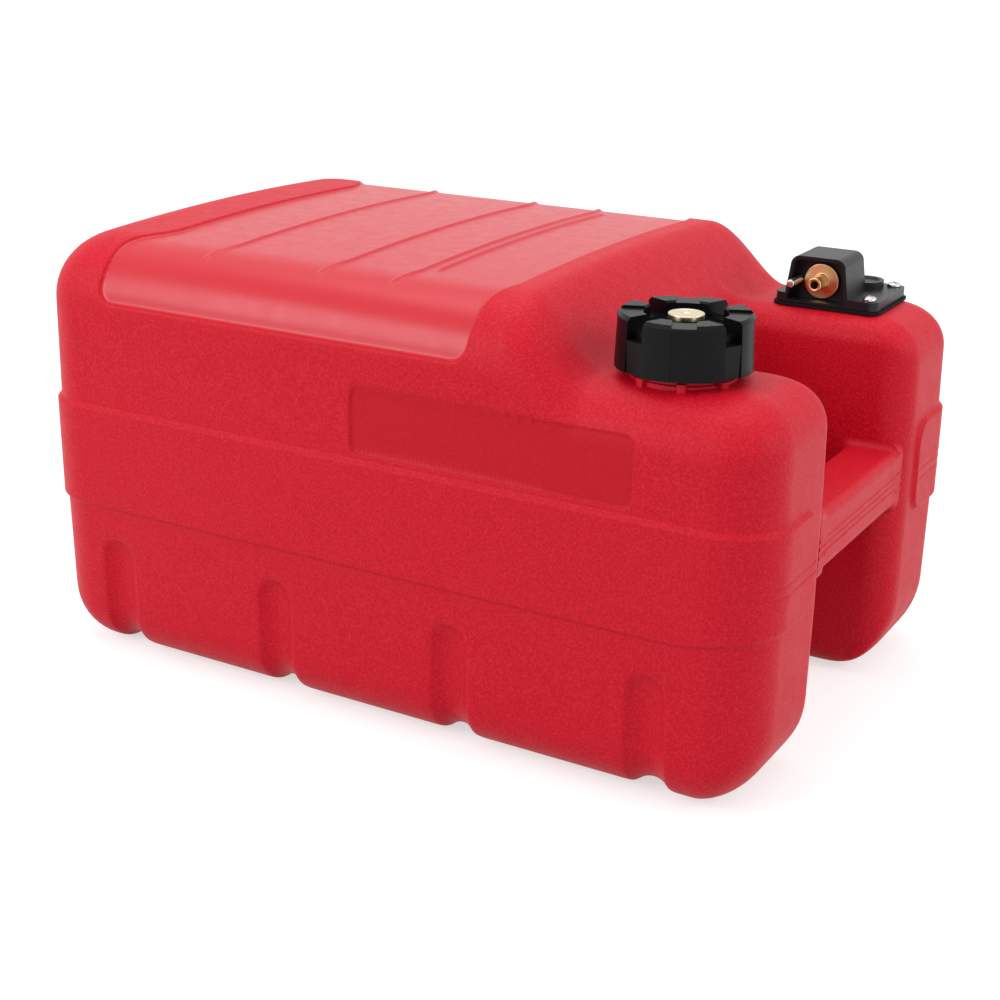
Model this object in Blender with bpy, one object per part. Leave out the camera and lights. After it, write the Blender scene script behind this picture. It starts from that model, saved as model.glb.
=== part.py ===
"""Portable outboard fuel tank: blow-moulded shell, screw cap with vent, hose fitting and pickup.

Metres, +Z up, +X to the handle end, origin on the floor under the middle of the tank.
Run with blender --background --python part.py, or from Blender's text editor.
"""
import math

import bmesh
import bpy
from mathutils import Matrix, Vector

MM = 0.001

# Shared clearances and cuts
SEAT_GAP = 0.3 * MM
CUT_OVERRUN = 2 * MM
ROUND_STEPS = 28
BODY_STEPS = 5
HOLLOW_STEPS = 3
CORNER_STEPS = 4
HUMP_ROWS = 4
SEAL_SIDES = 6
DOME_STEPS = 3
FINE_STEPS = 16

# Tank shell, overall
TANK_LENGTH = 500 * MM
TANK_WIDTH = 320 * MM
HUMP_HEIGHT = 268.5 * MM
HUMP_CROWN = 3 * MM
DECK_HEIGHT = 230 * MM
WALL = 4.5 * MM
SLOPE_TOP_X = 88 * MM
SLOPE_FOOT_X = 139 * MM
DRAFT_DEG = 0.7

# Tank shell, plan corners
REAR_CORNER = 38 * MM
FRONT_CORNER = 35 * MM
CORNER_SOFT_SHARE = 0.3
NOTCH_WIDTH = 123 * MM
NOTCH_BACK_X = 136 * MM
NOTCH_MOUTH_CORNER = 20 * MM
NOTCH_ROOT_CORNER = 16 * MM

# Tank shell, edge roundings as (reach inwards, height)
HUMP_SIDE_ROUND = 43 * MM
REAR_TOP_ROUND = 38 * MM
LOBE_SIDE_ROUND = 32 * MM
FRONT_TOP_ROUND = 27 * MM
NOTCH_ROUND = 16 * MM
SIDE_FOOT_ROUND = 29 * MM
REAR_FOOT_REACH = 38 * MM
REAR_FOOT_RISE = 42 * MM
FRONT_FOOT_REACH = 40 * MM
FRONT_FOOT_RISE = 50 * MM

# Belt round the middle
BELT_BOTTOM_Z = 99.5 * MM
BELT_TOP_Z = 164 * MM
BELT_PROUD = 2.5 * MM
BELT_BEVEL = 3 * MM
BELT_END_Y = 88 * MM
BELT_END_BEVEL = 5 * MM

# Smooth panel over the hump, and its ribs
PANEL_DEPTH = 2 * MM
PANEL_REAR_X = -177 * MM
PANEL_FRONT_X = 84 * MM
PANEL_FOOT_Z = 231 * MM
PANEL_CORNER = 12 * MM
BOW = 14 * MM
BOW_START_Y = 87 * MM
BOW_END_Y = 125 * MM
BOW_STEPS = 4
RIB_WIDTH = 4 * MM
RIB_HEIGHT = 1.4 * MM
LONG_RIB = 268 * MM
SHORT_RIB = 212 * MM
RIBS = ((-116.5 * MM, LONG_RIB), (-40 * MM, LONG_RIB), (14.5 * MM, LONG_RIB), (23 * MM, SHORT_RIB))
RIB_STATIONS = 13

# Plain recessed panel on the near side
SIDE_PANEL_REAR_X = -6.5 * MM
SIDE_PANEL_FRONT_X = 172 * MM
SIDE_PANEL_BOTTOM_Z = 168.5 * MM
SIDE_PANEL_TOP_Z = 209 * MM
SIDE_PANEL_DEPTH = 1.2 * MM
SIDE_PANEL_CORNER = 7 * MM

# Flutes in the lower sides
FLUTE_FRONT_X = 184 * MM
FLUTE_PITCH = 124 * MM
FLUTE_COUNT = 4
FLUTE_RADIUS = 16 * MM
FLUTE_DEPTH = 5.5 * MM
FLUTE_TOP_Z = 82 * MM
FLUTE_END_Y = 100 * MM
FLUTE_TIP_SHARE = 0.05

# Handle bar across the notch
BAR_FRONT_SETBACK = 5.5 * MM
BAR_DEPTH = 34 * MM
BAR_HEIGHT = 36 * MM
BAR_MIDDLE_Z = 134.8 * MM
BAR_CORNER = 6 * MM
BAR_FILLET = 9 * MM
BAR_SINK = 8 * MM
RIDGE_COUNT = 3
RIDGE_PROUD = 0.8 * MM
RIDGE_WIDTH = 2.4 * MM

# Filler neck on the near lobe
NECK_X = 173.8 * MM
NECK_Y = -103.5 * MM
NECK_RADIUS = 27.5 * MM
NECK_BORE_RADIUS = 22.5 * MM
NECK_COLLAR_RADIUS = 33 * MM
NECK_COLLAR_HEIGHT = 4.6 * MM
LUG_COUNT = 8
LUG_REACH_RADIUS = 36.5 * MM
LUG_WIDTH = 5 * MM
LUG_HEIGHT = 4.2 * MM

# Screw cap
CAP_RADIUS = 37.3 * MM
CAP_TOP_RADIUS = 36.3 * MM
CAP_HEIGHT = 29.4 * MM
CAP_DECK_GAP = 5.6 * MM
CAP_BORE_RADIUS = 29.3 * MM
CAP_WEB = 4 * MM
CAP_RECESS_DEPTH = 8.5 * MM
CAP_RECESS_RADIUS = 22.5 * MM
CAP_CHAMFER = 2 * MM
CAP_LOBES = 4
CAP_GAP_WIDTH = 11.5 * MM
CAP_FLAT_RADIUS = 33.6 * MM
CAP_STEP_RADIUS = 31.5 * MM
CAP_STEP_DROP = 13 * MM
CAP_SILL = 0.8 * MM
CAP_FACET_WIDTH = 12 * MM
CAP_FACET_DEPTH = 0.7 * MM
CAP_REST_TURN_DEG = 22.5
CAP_BOSS_RADIUS = 9.5 * MM
CAP_BOSS_DROP = 6 * MM
GASKET_THICKNESS = 2.2 * MM
GASKET_INSET = 0.4 * MM

# Vent in the cap
VENT_DISC_RADIUS = 9.7 * MM
VENT_DISC_THICKNESS = 3.2 * MM
VENT_DISC_BEVEL = 0.6 * MM
VENT_DIMPLE_RADIUS = 2.2 * MM
VENT_DIMPLE_DEPTH = 0.8 * MM
VENT_STEM_RADIUS = 3 * MM
VENT_STEM_LENGTH = 11 * MM
BUSH_RADIUS = 5.6 * MM
BUSH_FLANGE_RADIUS = 8.6 * MM
BUSH_FLANGE_THICKNESS = 2 * MM
SEAL_THICKNESS = 1.2 * MM
SEAL_RADIUS = 7 * MM

# Hose fitting on the far lobe: gasket, plate and hood
FITTING_X = 185.4 * MM
FITTING_Y = 105 * MM
GASKET_LENGTH = 68.5 * MM
GASKET_DEPTH = 61 * MM
GASKET_SHEET = 1.7 * MM
PLATE_EDGE = 1.5 * MM
PLATE_THICKNESS = 5.6 * MM
PLATE_CORNER = 6 * MM
PLATE_BEVEL = 0.9 * MM
HOOD_X = 179.4 * MM
HOOD_FRONT_SETBACK = 1 * MM
HOOD_DEPTH = 33 * MM
HOOD_FOOT_WIDTH = 41 * MM
HOOD_TOP_WIDTH = 35 * MM
HOOD_TOP_HEIGHT = 23.6 * MM
HOOD_CORNER = 6 * MM
HOOD_WALL = 2.2 * MM
HOOD_MOUTH_DEPTH = 10.5 * MM
HOOD_FLOOR = 1.5 * MM
BLANK_BOSS_RADIUS = 11 * MM
BLANK_BOSS_HEIGHT = 4.2 * MM
BLANK_BOSS_DX = 10.5 * MM
BLANK_BOSS_DY = 15.5 * MM
BLANK_BOSS_RIM = 2.2 * MM
BLANK_BOSS_DISH = 1.2 * MM
SPIGOT_RADIUS = 11.5 * MM
SPIGOT_DROP = 6 * MM
SPIGOT_Y = 106 * MM
BARB_RADIUS = 4.4 * MM
BARB_LENGTH = 14 * MM
PASSAGE_RADIUS = 2.6 * MM

# Brass outlet nipple and its seal
OUTLET_RISE = 7.4 * MM
OUTLET_FLANGE_RADIUS = 11 * MM
OUTLET_FLANGE_THICKNESS = 2.3 * MM
NIPPLE_RADIUS = 4.5 * MM
NIPPLE_LENGTH = 12.8 * MM
NIPPLE_BEVEL = 0.6 * MM
SHANK_RADIUS = 6 * MM
SHANK_LENGTH = 10 * MM
NIPPLE_BORE_RADIUS = 2.5 * MM
OUTLET_SEAL_RADIUS = 8.3 * MM
OUTLET_SEAL_CORD = 0.75 * MM

# Locating pin beside the nipple
PIN_RADIUS = 2.4 * MM
PIN_X = 165.6 * MM
PIN_PROUD = 9 * MM
PIN_SOCKET = 8 * MM
PIN_BEVEL = 0.6 * MM

# Fitting screws and the inserts that they thread into
SCREW_DX = 26.1 * MM
SCREW_DY = 22.8 * MM
SCREW_PLACES = ((1, -1), (1, 1), (-1, 1))
SCREW_HEAD_RADIUS = 4.2 * MM
SCREW_HEAD_HEIGHT = 2.6 * MM
SCREW_SHANK_RADIUS = 2.3 * MM
SCREW_GRIP = 7 * MM
DRIVE_LENGTH = 4.6 * MM
DRIVE_WIDTH = 1 * MM
DRIVE_DEPTH = 1.3 * MM
DRIVE_TURN_DEG = 17
INSERT_RADIUS = 3.6 * MM
INSERT_LENGTH = 8.5 * MM
INSERT_BOSS_RADIUS = 7.5 * MM
INSERT_BOSS_DROP = 6.5 * MM

# Pickup tube and strainer
TUBE_WALL = 1.6 * MM
STRAINER_FLOOR_GAP = 8 * MM
STRAINER_RADIUS = 8 * MM
STRAINER_END = 1.8 * MM
STRAINER_HEIGHT = 18 * MM
STRAINER_STUB = 12 * MM
STRAINER_POST_WIDTH = 2 * MM
STRAINER_POSTS = 4
STRAINER_TURN_DEG = 36
STRAINER_POST_RADIUS = 5 * MM
MESH_THICKNESS = 0.5 * MM

# Places that follow from the sizes above
BELT_MIDDLE_Z = (BELT_BOTTOM_Z + BELT_TOP_Z) / 2
BAR_FRONT_X = TANK_LENGTH / 2 - BAR_FRONT_SETBACK
CAP_BASE_Z = DECK_HEIGHT + CAP_DECK_GAP
CAP_FLOOR_Z = CAP_BASE_Z + CAP_HEIGHT - CAP_RECESS_DEPTH
CAP_CEILING_Z = CAP_FLOOR_Z - CAP_WEB
NECK_TOP_Z = CAP_CEILING_Z - GASKET_THICKNESS - 2 * SEAT_GAP
BUSH_TOP_Z = CAP_FLOOR_Z + SEAT_GAP + BUSH_FLANGE_THICKNESS
VENT_SEAL_Z = BUSH_TOP_Z + SEAT_GAP
VENT_DISC_Z = VENT_SEAL_Z + SEAL_THICKNESS + SEAT_GAP
PLATE_BOTTOM_Z = DECK_HEIGHT + GASKET_SHEET + 2 * SEAT_GAP
PLATE_TOP_Z = PLATE_BOTTOM_Z + PLATE_THICKNESS
PLATE_LENGTH = GASKET_LENGTH - 2 * PLATE_EDGE
PLATE_DEPTH = GASKET_DEPTH - 2 * PLATE_EDGE
HOOD_FRONT_Y = FITTING_Y - PLATE_DEPTH / 2 + HOOD_FRONT_SETBACK
HOOD_TOP_Z = PLATE_TOP_Z + HOOD_TOP_HEIGHT
MOUTH_BACK_Y = HOOD_FRONT_Y + HOOD_MOUTH_DEPTH
OUTLET_Z = PLATE_TOP_Z + OUTLET_RISE
FLANGE_BACK_Y = MOUTH_BACK_Y - SEAT_GAP
FLANGE_FRONT_Y = FLANGE_BACK_Y - OUTLET_FLANGE_THICKNESS
NIPPLE_TIP_Y = FLANGE_FRONT_Y - NIPPLE_LENGTH
SHANK_END_Y = FLANGE_BACK_Y + SHANK_LENGTH
SPIGOT_BOTTOM_Z = DECK_HEIGHT - WALL - SPIGOT_DROP
STRAINER_BOTTOM_Z = WALL + STRAINER_FLOOR_GAP
STRAINER_TOP_Z = STRAINER_BOTTOM_Z + STRAINER_HEIGHT


def clear_scene():
    for item in list(bpy.data.objects):
        bpy.data.objects.remove(item, do_unlink=True)


def material(name, hex_colour, roughness, metallic=0.0):
    """One finish: a Principled shader with the piece's own colour."""
    linear = []
    for start in (0, 2, 4):
        value = int(hex_colour[start:start + 2], 16) / 255
        linear.append(value / 12.92 if value <= 0.04045 else ((value + 0.055) / 1.055) ** 2.4)
    mat = bpy.data.materials.new(name)
    mat.use_nodes = True
    shader = mat.node_tree.nodes["Principled BSDF"]
    shader.inputs["Base Color"].default_value = (*linear, 1.0)
    shader.inputs["Roughness"].default_value = roughness
    shader.inputs["Metallic"].default_value = metallic
    mat.diffuse_color = (*linear, 1.0)
    return mat


def to_object(name, bm):
    """Turns a bmesh into an object with faces looking outwards."""
    bmesh.ops.recalc_face_normals(bm, faces=bm.faces)
    mesh = bpy.data.meshes.new(name)
    bm.to_mesh(mesh)
    bm.free()
    item = bpy.data.objects.new(name, mesh)
    bpy.context.scene.collection.objects.link(item)
    return item


def evaluated_copy(item):
    """Bakes an object's modifiers into its own mesh."""
    graph = bpy.context.evaluated_depsgraph_get()
    mesh = bpy.data.meshes.new_from_object(item.evaluated_get(graph))
    item.modifiers.clear()
    item.data = mesh


def boolean(item, tool, operation):
    """Cuts, joins or intersects item with tool, then removes the tool."""
    step = item.modifiers.new(operation.lower(), "BOOLEAN")
    step.operation = operation
    step.solver = "EXACT"
    step.object = tool
    evaluated_copy(item)
    bpy.data.objects.remove(tool, do_unlink=True)


def cut(item, *tools):
    for tool in tools:
        boolean(item, tool, "DIFFERENCE")


def join(item, *tools):
    for tool in tools:
        boolean(item, tool, "UNION")


def merge_tools(name, tools):
    """Puts tools that don't touch each other into one object."""
    bm = bmesh.new()
    for tool in tools:
        start = len(bm.verts)
        bm.from_mesh(tool.data)
        bm.verts.ensure_lookup_table()
        bmesh.ops.transform(bm, matrix=tool.matrix_basis, verts=bm.verts[start:])
        bpy.data.objects.remove(tool, do_unlink=True)
    return to_object(name, bm)


def finish(item, mat, sharp_deg=35):
    """Gives a finished piece its material and its shading."""
    item.data.materials.clear()
    item.data.materials.append(mat)
    item.data.shade_smooth()
    item.data.set_sharp_from_angle(angle=math.radians(sharp_deg))
    return item


def place_origin(item, point):
    """Moves an object's origin without moving its mesh."""
    item.data.transform(Matrix.Translation(-Vector(point)))
    item.location = point


def box(name, low, high):
    bm = bmesh.new()
    bmesh.ops.create_cube(bm, size=1)
    size = Vector(high) - Vector(low)
    middle = (Vector(high) + Vector(low)) / 2
    bmesh.ops.scale(bm, vec=size, verts=bm.verts)
    bmesh.ops.translate(bm, vec=middle, verts=bm.verts)
    return to_object(name, bm)


def rod(name, start, end, radius, steps=ROUND_STEPS, end_radius=None):
    """A round bar, or a cone, between two points."""
    start, end = Vector(start), Vector(end)
    bm = bmesh.new()
    bmesh.ops.create_cone(bm, cap_ends=True, segments=steps, radius1=radius,
                          radius2=radius if end_radius is None else end_radius,
                          depth=(end - start).length)
    turn = Vector((0, 0, 1)).rotation_difference(end - start).to_matrix()
    bmesh.ops.rotate(bm, matrix=turn, verts=bm.verts)
    bmesh.ops.translate(bm, vec=(start + end) / 2, verts=bm.verts)
    return to_object(name, bm)


def revolve(name, profile, steps=ROUND_STEPS, centre=(0, 0, 0), axis=(0, 0, 1)):
    """Turns a closed outline of (radius, height) points about an axis through centre."""
    bm = bmesh.new()
    rings = []
    for radius, height in profile:
        if radius == 0:
            rings.append([bm.verts.new((0, 0, height))])
            continue
        angles = [2 * math.pi * k / steps for k in range(steps)]
        rings.append([bm.verts.new((radius * math.cos(a), radius * math.sin(a), height)) for a in angles])
    for one, two in zip(rings, rings[1:] + rings[:1]):
        for k in range(steps):
            after = (k + 1) % steps
            corners = [one[k % len(one)], one[after % len(one)], two[after % len(two)], two[k % len(two)]]
            corners = list(dict.fromkeys(corners))
            if len(corners) > 2:
                bm.faces.new(corners)
    turn = Vector((0, 0, 1)).rotation_difference(Vector(axis)).to_matrix()
    bmesh.ops.rotate(bm, matrix=turn, verts=bm.verts)
    bmesh.ops.translate(bm, vec=centre, verts=bm.verts)
    return to_object(name, bm)


def rounded_outline(low, high, corner, steps=BODY_STEPS):
    """Corner points of a rounded rectangle, anticlockwise, as (u, v) pairs."""
    points = []
    middles = ((high[0] - corner, high[1] - corner, 0), (low[0] + corner, high[1] - corner, 90),
               (low[0] + corner, low[1] + corner, 180), (high[0] - corner, low[1] + corner, 270))
    for u, v, start in middles:
        for k in range(steps + 1):
            a = math.radians(start + 90 * k / steps)
            points.append((u + corner * math.cos(a), v + corner * math.sin(a)))
    return points


def prism(name, outline, near, far, plane="XY"):
    """Extrudes an outline between two levels; plane says which axes it is drawn on."""
    spread = {"XY": lambda u, v, w: (u, v, w), "XZ": lambda u, v, w: (u, w, v),
              "YZ": lambda u, v, w: (w, u, v)}[plane]
    bm = bmesh.new()
    ends = [[bm.verts.new(spread(u, v, level)) for u, v in outline] for level in (near, far)]
    for end in ends:
        bm.faces.new(end)
    for k in range(len(outline)):
        after = (k + 1) % len(outline)
        bm.faces.new((ends[0][k], ends[0][after], ends[1][after], ends[1][k]))
    return to_object(name, bm)


def swept_tube(name, path, radii, steps=12):
    """A closed tube through the points of a path, with its own radius at each."""
    bm = bmesh.new()
    rings = []
    points = [Vector(p) for p in path]
    side = None
    for k, point in enumerate(points):
        ahead = points[min(k + 1, len(points) - 1)] - points[max(k - 1, 0)]
        ahead.normalize()
        if side is None:
            side = ahead.orthogonal().normalized()
        side = (side - ahead * side.dot(ahead)).normalized()
        other = ahead.cross(side)
        ring = []
        for j in range(steps):
            a = 2 * math.pi * j / steps
            ring.append(bm.verts.new(point + radii[k] * (math.cos(a) * side + math.sin(a) * other)))
        rings.append(ring)
    for one, two in zip(rings, rings[1:]):
        for j in range(steps):
            after = (j + 1) % steps
            bm.faces.new((one[j], one[after], two[after], two[j]))
    bm.faces.new(rings[0])
    bm.faces.new(rings[-1])
    return to_object(name, bm)


def ease(t):
    t = min(max(t, 0), 1)
    return t * t * (3 - 2 * t)


def deck_share(x):
    """0 on the hump, 1 on the deck, eased down the slope between them."""
    return ease((x - SLOPE_TOP_X) / (SLOPE_FOOT_X - SLOPE_TOP_X))


def top_height(x, y=TANK_WIDTH / 2):
    """Height of the top at one place; the hump is slightly crowned across."""
    edge_y = TANK_WIDTH / 2 - HUMP_SIDE_ROUND
    crown = HUMP_CROWN * max(1 - (y / edge_y) ** 2, 0)
    return HUMP_HEIGHT + crown + (DECK_HEIGHT - HUMP_HEIGHT - crown) * deck_share(x)


def draft(z):
    return abs(z - BELT_MIDDLE_Z) * math.tan(math.radians(DRAFT_DEG))


def plan_arc(cx, cy, corner, start, end, steps, way, soft=0):
    """Points of a plan corner as (x, y, nx, ny, fx, fy).

    nx, ny are the sizes of the normal's parts. fx, fy say which way and how far the point follows the
    roundings above and below it; soft evens that out round the corner.
    """
    points = []
    for k in range(steps + 1):
        a = math.radians(start + (end - start) * k / steps)
        nx, ny = abs(math.cos(a)), abs(math.sin(a))
        fx, fy = way[0] * (soft + (1 - soft) * nx), way[1] * (soft + (1 - soft) * ny)
        points.append((cx + corner * math.cos(a), cy + corner * math.sin(a), nx, ny, fx, fy))
    return points


def plan_flat(x, y, fx, fy, slide=None):
    """One point on a flat stretch of the plan, in the same form as a corner's points."""
    return (x, y, abs(fx), abs(fy), fx, fy, slide)


def near_outline(steps):
    """Plan of the tank's near half at its belt, from the middle of the rear face to the notch's back.

    The last value of each point, slide, is None outside. On the notch's side of the belt's end it is the
    share of the front face's setback that the point follows.
    """
    half_length, half_width, half_notch = TANK_LENGTH / 2, TANK_WIDTH / 2, NOTCH_WIDTH / 2
    bay_y = -(half_notch - NOTCH_ROOT_CORNER)
    rear = plan_arc(-half_length + REAR_CORNER, -half_width + REAR_CORNER, REAR_CORNER, 180, 270, steps + 1,
                    (-1, -1), CORNER_SOFT_SHARE)
    front = plan_arc(half_length - FRONT_CORNER, -half_width + FRONT_CORNER, FRONT_CORNER, 270, 360, steps + 1,
                     (1, -1), CORNER_SOFT_SHARE)
    mouth = plan_arc(half_length - NOTCH_MOUTH_CORNER, -half_notch - NOTCH_MOUTH_CORNER, NOTCH_MOUTH_CORNER,
                     0, 90, steps, (1, 1))
    root = plan_arc(NOTCH_BACK_X + NOTCH_ROOT_CORNER, bay_y, NOTCH_ROOT_CORNER, 270, 180, steps, (1, 1))
    notch_row_x = NOTCH_BACK_X - NOTCH_ROUND
    root_front_x = NOTCH_BACK_X + NOTCH_ROOT_CORNER
    rear_end_x, front_start_x = -half_length + REAR_CORNER, half_length - FRONT_CORNER
    side_xs = [rear_end_x + (SLOPE_TOP_X - rear_end_x) * k / HUMP_ROWS for k in range(1, HUMP_ROWS + 1)]
    side_xs += [SLOPE_TOP_X + (notch_row_x - SLOPE_TOP_X) * k / (steps + 1) for k in range(1, steps + 2)]
    side_xs += [notch_row_x + (root_front_x - notch_row_x) * k / steps for k in range(1, steps + 1)]
    lobe_xs = [root_front_x + (front_start_x - root_front_x) * k / 2 for k in (1, 2)]
    across = (0, bay_y / 2, bay_y)
    outline = [plan_flat(-half_length, y, -1, 0) for y in across]
    outline += [(*p, None) for p in rear]
    outline += [plan_flat(x, -half_width, 0, -1) for x in side_xs + lobe_xs[:1]]
    outline += [(*p, None) for p in front]
    outline.append(plan_flat(half_length, -BELT_END_Y, 1, 0))
    outline.append(plan_flat(half_length, -BELT_END_Y + BELT_END_BEVEL, 1, 0, 1))
    outline += [(*p, 1) for p in mouth]
    mouth_start_x = half_length - NOTCH_MOUTH_CORNER
    for x in reversed(lobe_xs):
        outline.append(plan_flat(x, -half_notch, 0, 1, (x - root_front_x) / (mouth_start_x - root_front_x)))
    outline += [(*p, 0) for p in root]
    outline += [plan_flat(NOTCH_BACK_X, y, 1, 0, 0) for y in across[1::-1]]
    return outline


def place_point(point, level, inset):
    """Where one outline point lies on one level of the body, pulled in by inset."""
    x, y, nx, ny, fx, fy, slide = point
    kind, turn = level
    outside = slide is None
    side_round = HUMP_SIDE_ROUND + (LOBE_SIDE_ROUND - HUMP_SIDE_ROUND) * deck_share(x)
    if kind == "top":
        end_reach = end_rise = REAR_TOP_ROUND if fx < 0 else FRONT_TOP_ROUND
    else:
        side_round = SIDE_FOOT_ROUND
        end_reach, end_rise = FRONT_FOOT_REACH, FRONT_FOOT_RISE
        if fx < 0:
            end_reach, end_rise = REAR_FOOT_REACH, REAR_FOOT_RISE
    in_root = slide == 0
    rise_x = NOTCH_ROUND if in_root else end_rise
    rise_y = side_round if outside else NOTCH_ROUND
    rise = rise_x * nx * nx + rise_y * ny * ny - inset
    pull, drop, height, proud = 0, 0, 0, False
    if kind == "top":
        drop = rise * (1 - math.sin(turn))
        pull = 1 - math.cos(turn)
        height = top_height(x) - inset - drop
    elif kind == "foot":
        height = inset + rise * (1 - math.cos(turn))
        pull = 1 - math.sin(turn)
    else:
        height, proud = turn
    slant = 0 if proud else draft(height)
    in_x = in_y = inset + slant
    in_x += ((NOTCH_ROUND if in_root else end_reach) - inset) * pull
    in_y += ((side_round if outside else NOTCH_ROUND) - inset) * pull
    if outside:
        in_x += 0 if proud else BELT_PROUD
        in_y += 0 if proud else BELT_PROUD
    elif not in_root:
        in_x += BELT_PROUD
    place_x = x - in_x * (fx if outside or in_root else slide)
    place_y = y - in_y * fy
    if kind == "top":
        height = top_height(place_x, place_y) - inset - drop
    return place_x, place_y, height


def body_levels(steps, belt_inset):
    """The body's levels from its floor to its top edge."""
    quarter = math.pi / 2
    levels = [("foot", quarter * k / steps) for k in range(steps + 1)]
    levels += [("belt", (BELT_BOTTOM_Z - BELT_BEVEL + belt_inset, False)),
               ("belt", (BELT_BOTTOM_Z + belt_inset, True)),
               ("belt", (BELT_TOP_Z - belt_inset, True)),
               ("belt", (BELT_TOP_Z + BELT_BEVEL - belt_inset, False))]
    levels += [("top", quarter * k / steps) for k in range(steps + 1)]
    return levels


def tank_body(name, inset, steps):
    """The whole tank as one closed solid, pulled in everywhere by inset."""
    near = near_outline(steps)
    bm = bmesh.new()
    rings = []
    for level in body_levels(steps, inset / 2):
        half = [place_point(point, level, inset) for point in near]
        ring = [bm.verts.new(p) for p in half]
        ring += [bm.verts.new((x, -y, z)) for x, y, z in reversed(half[1:-1])]
        rings.append(ring)
    count = len(rings[0])
    for lower, upper in zip(rings, rings[1:]):
        for k in range(count):
            after = (k + 1) % count
            bm.faces.new((lower[k], lower[after], upper[after], upper[k]))
    for ring, is_top in ((rings[0], False), (rings[-1], True)):
        close_end(bm, ring, near, inset, is_top)
    return to_object(name, bm)


def close_end(bm, ring, near, inset, is_top):
    """Fills the floor or the top in rows across the tank, so that it follows the slope."""
    last = len(near) - 1
    belt_end = max(k for k, point in enumerate(near) if point[-1] is None)
    inner = [ring[k] for k in range(last - 2, belt_end + 1, -1)]
    outer = [ring[k] for k in range(belt_end - len(inner), belt_end)]
    body = [ring[k] for k in range(3, belt_end - len(inner) + 1)]
    mirror = {ring[k]: ring[-k] for k in range(len(near))}
    bay_y = abs(ring[2].co.y)
    rows = [[body[0], ring[2], ring[1], ring[0]]]
    for vert in body[1:-1]:
        x = vert.co.x
        row = [vert]
        for y in (-bay_y, -bay_y / 2, 0):
            row.append(bm.verts.new((x, y, top_height(x, y) - inset if is_top else inset)))
        rows.append(row)
    rows.append([body[-1], inner[0], ring[last - 1], ring[last]])
    for row in rows:
        for vert in row[2::-1]:
            far = mirror.get(vert)
            if far is None:
                far = bm.verts.new((vert.co.x, -vert.co.y, vert.co.z))
            row.append(far)
    for one, two in zip(rows, rows[1:]):
        for k in range(6):
            bm.faces.new((one[k], one[k + 1], two[k + 1], two[k]))
    for k in range(len(inner) - 1):
        front = [ring[belt_end], ring[belt_end + 1]] if k == len(inner) - 2 else []
        loop = [outer[k], outer[k + 1], *front, inner[k + 1], inner[k]]
        bm.faces.new(loop)
        bm.faces.new([mirror[v] for v in reversed(loop)])


def flute_tools(name, extra, steps):
    """Cutters for the flutes, which run down each side and in under the floor."""
    wall_y = TANK_WIDTH / 2 - BELT_PROUD
    radius = FLUTE_RADIUS + extra
    offset = FLUTE_RADIUS - FLUTE_DEPTH
    bend = SIDE_FOOT_ROUND + offset
    bend_y = wall_y - SIDE_FOOT_ROUND
    top_z = FLUTE_TOP_Z - FLUTE_RADIUS
    dome = [math.pi / 2 * k / steps for k in range(steps)]
    path = [(bend_y + bend, top_z + radius * math.cos(a)) for a in dome]
    radii = [radius * max(math.sin(a), FLUTE_TIP_SHARE) for a in dome]
    path += [(bend_y + bend, top_z), (bend_y + bend, SIDE_FOOT_ROUND)]
    path += [(bend_y + bend * math.cos(a), SIDE_FOOT_ROUND - bend * math.sin(a))
             for a in (math.pi / 2 * k / steps for k in range(1, steps + 1))]
    path.append((FLUTE_END_Y, SIDE_FOOT_ROUND - bend))
    radii += [radius] * (len(path) - len(radii))
    path += [(FLUTE_END_Y - radius * math.sin(a), SIDE_FOOT_ROUND - bend) for a in dome[1:]]
    radii += [radius * math.cos(a) for a in dome[1:]]
    tools = []
    for k in range(FLUTE_COUNT):
        x = FLUTE_FRONT_X - FLUTE_PITCH * k
        for side in (-1, 1):
            line = [(x, side * y, z) for y, z in path]
            tools.append(swept_tube(name, line, radii, 4 * steps))
    return merge_tools(name, tools)


def bow(y):
    """How far the lines across the hump lie back where they turn down over its sides."""
    return -BOW * ease((abs(y) - BOW_START_Y) / (BOW_END_Y - BOW_START_Y))


def bow_stations(end_y):
    """Places across the tank that show the bow well."""
    half = [BOW_START_Y + (BOW_END_Y - BOW_START_Y) * k / BOW_STEPS for k in range(BOW_STEPS + 1)] + [end_y]
    return [-y for y in reversed(half)] + half


def loft(name, rings):
    """Closes a row of equal rings into one solid."""
    bm = bmesh.new()
    rings = [[bm.verts.new(point) for point in ring] for ring in rings]
    for one, two in zip(rings, rings[1:]):
        for k in range(len(one)):
            after = (k + 1) % len(one)
            bm.faces.new((one[k], one[after], two[after], two[k]))
    bm.faces.new(rings[0])
    bm.faces.new(rings[-1])
    return to_object(name, bm)


def hump_panel_tool():
    """What the smooth panel over the hump takes away: a shallow skin of the body."""
    high = HUMP_HEIGHT + HUMP_CROWN + CUT_OVERRUN
    outline = []
    for x, start in ((PANEL_REAR_X + PANEL_CORNER, 180), (PANEL_FRONT_X - PANEL_CORNER, 270)):
        for k in range(CORNER_STEPS + 1):
            a = math.radians(start + 90 * k / CORNER_STEPS)
            outline.append((x + PANEL_CORNER * math.cos(a), PANEL_FOOT_Z + PANEL_CORNER * (1 + math.sin(a))))
    outline += [(PANEL_FRONT_X, high), (PANEL_REAR_X, high)]
    stations = bow_stations(TANK_WIDTH / 2 + CUT_OVERRUN)
    tool = loft("panel_tool", [[(x + bow(y), y, z) for x, z in outline] for y in stations])
    cut(tool, tank_body("panel_floor", PANEL_DEPTH, BODY_STEPS))
    return tool


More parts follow.
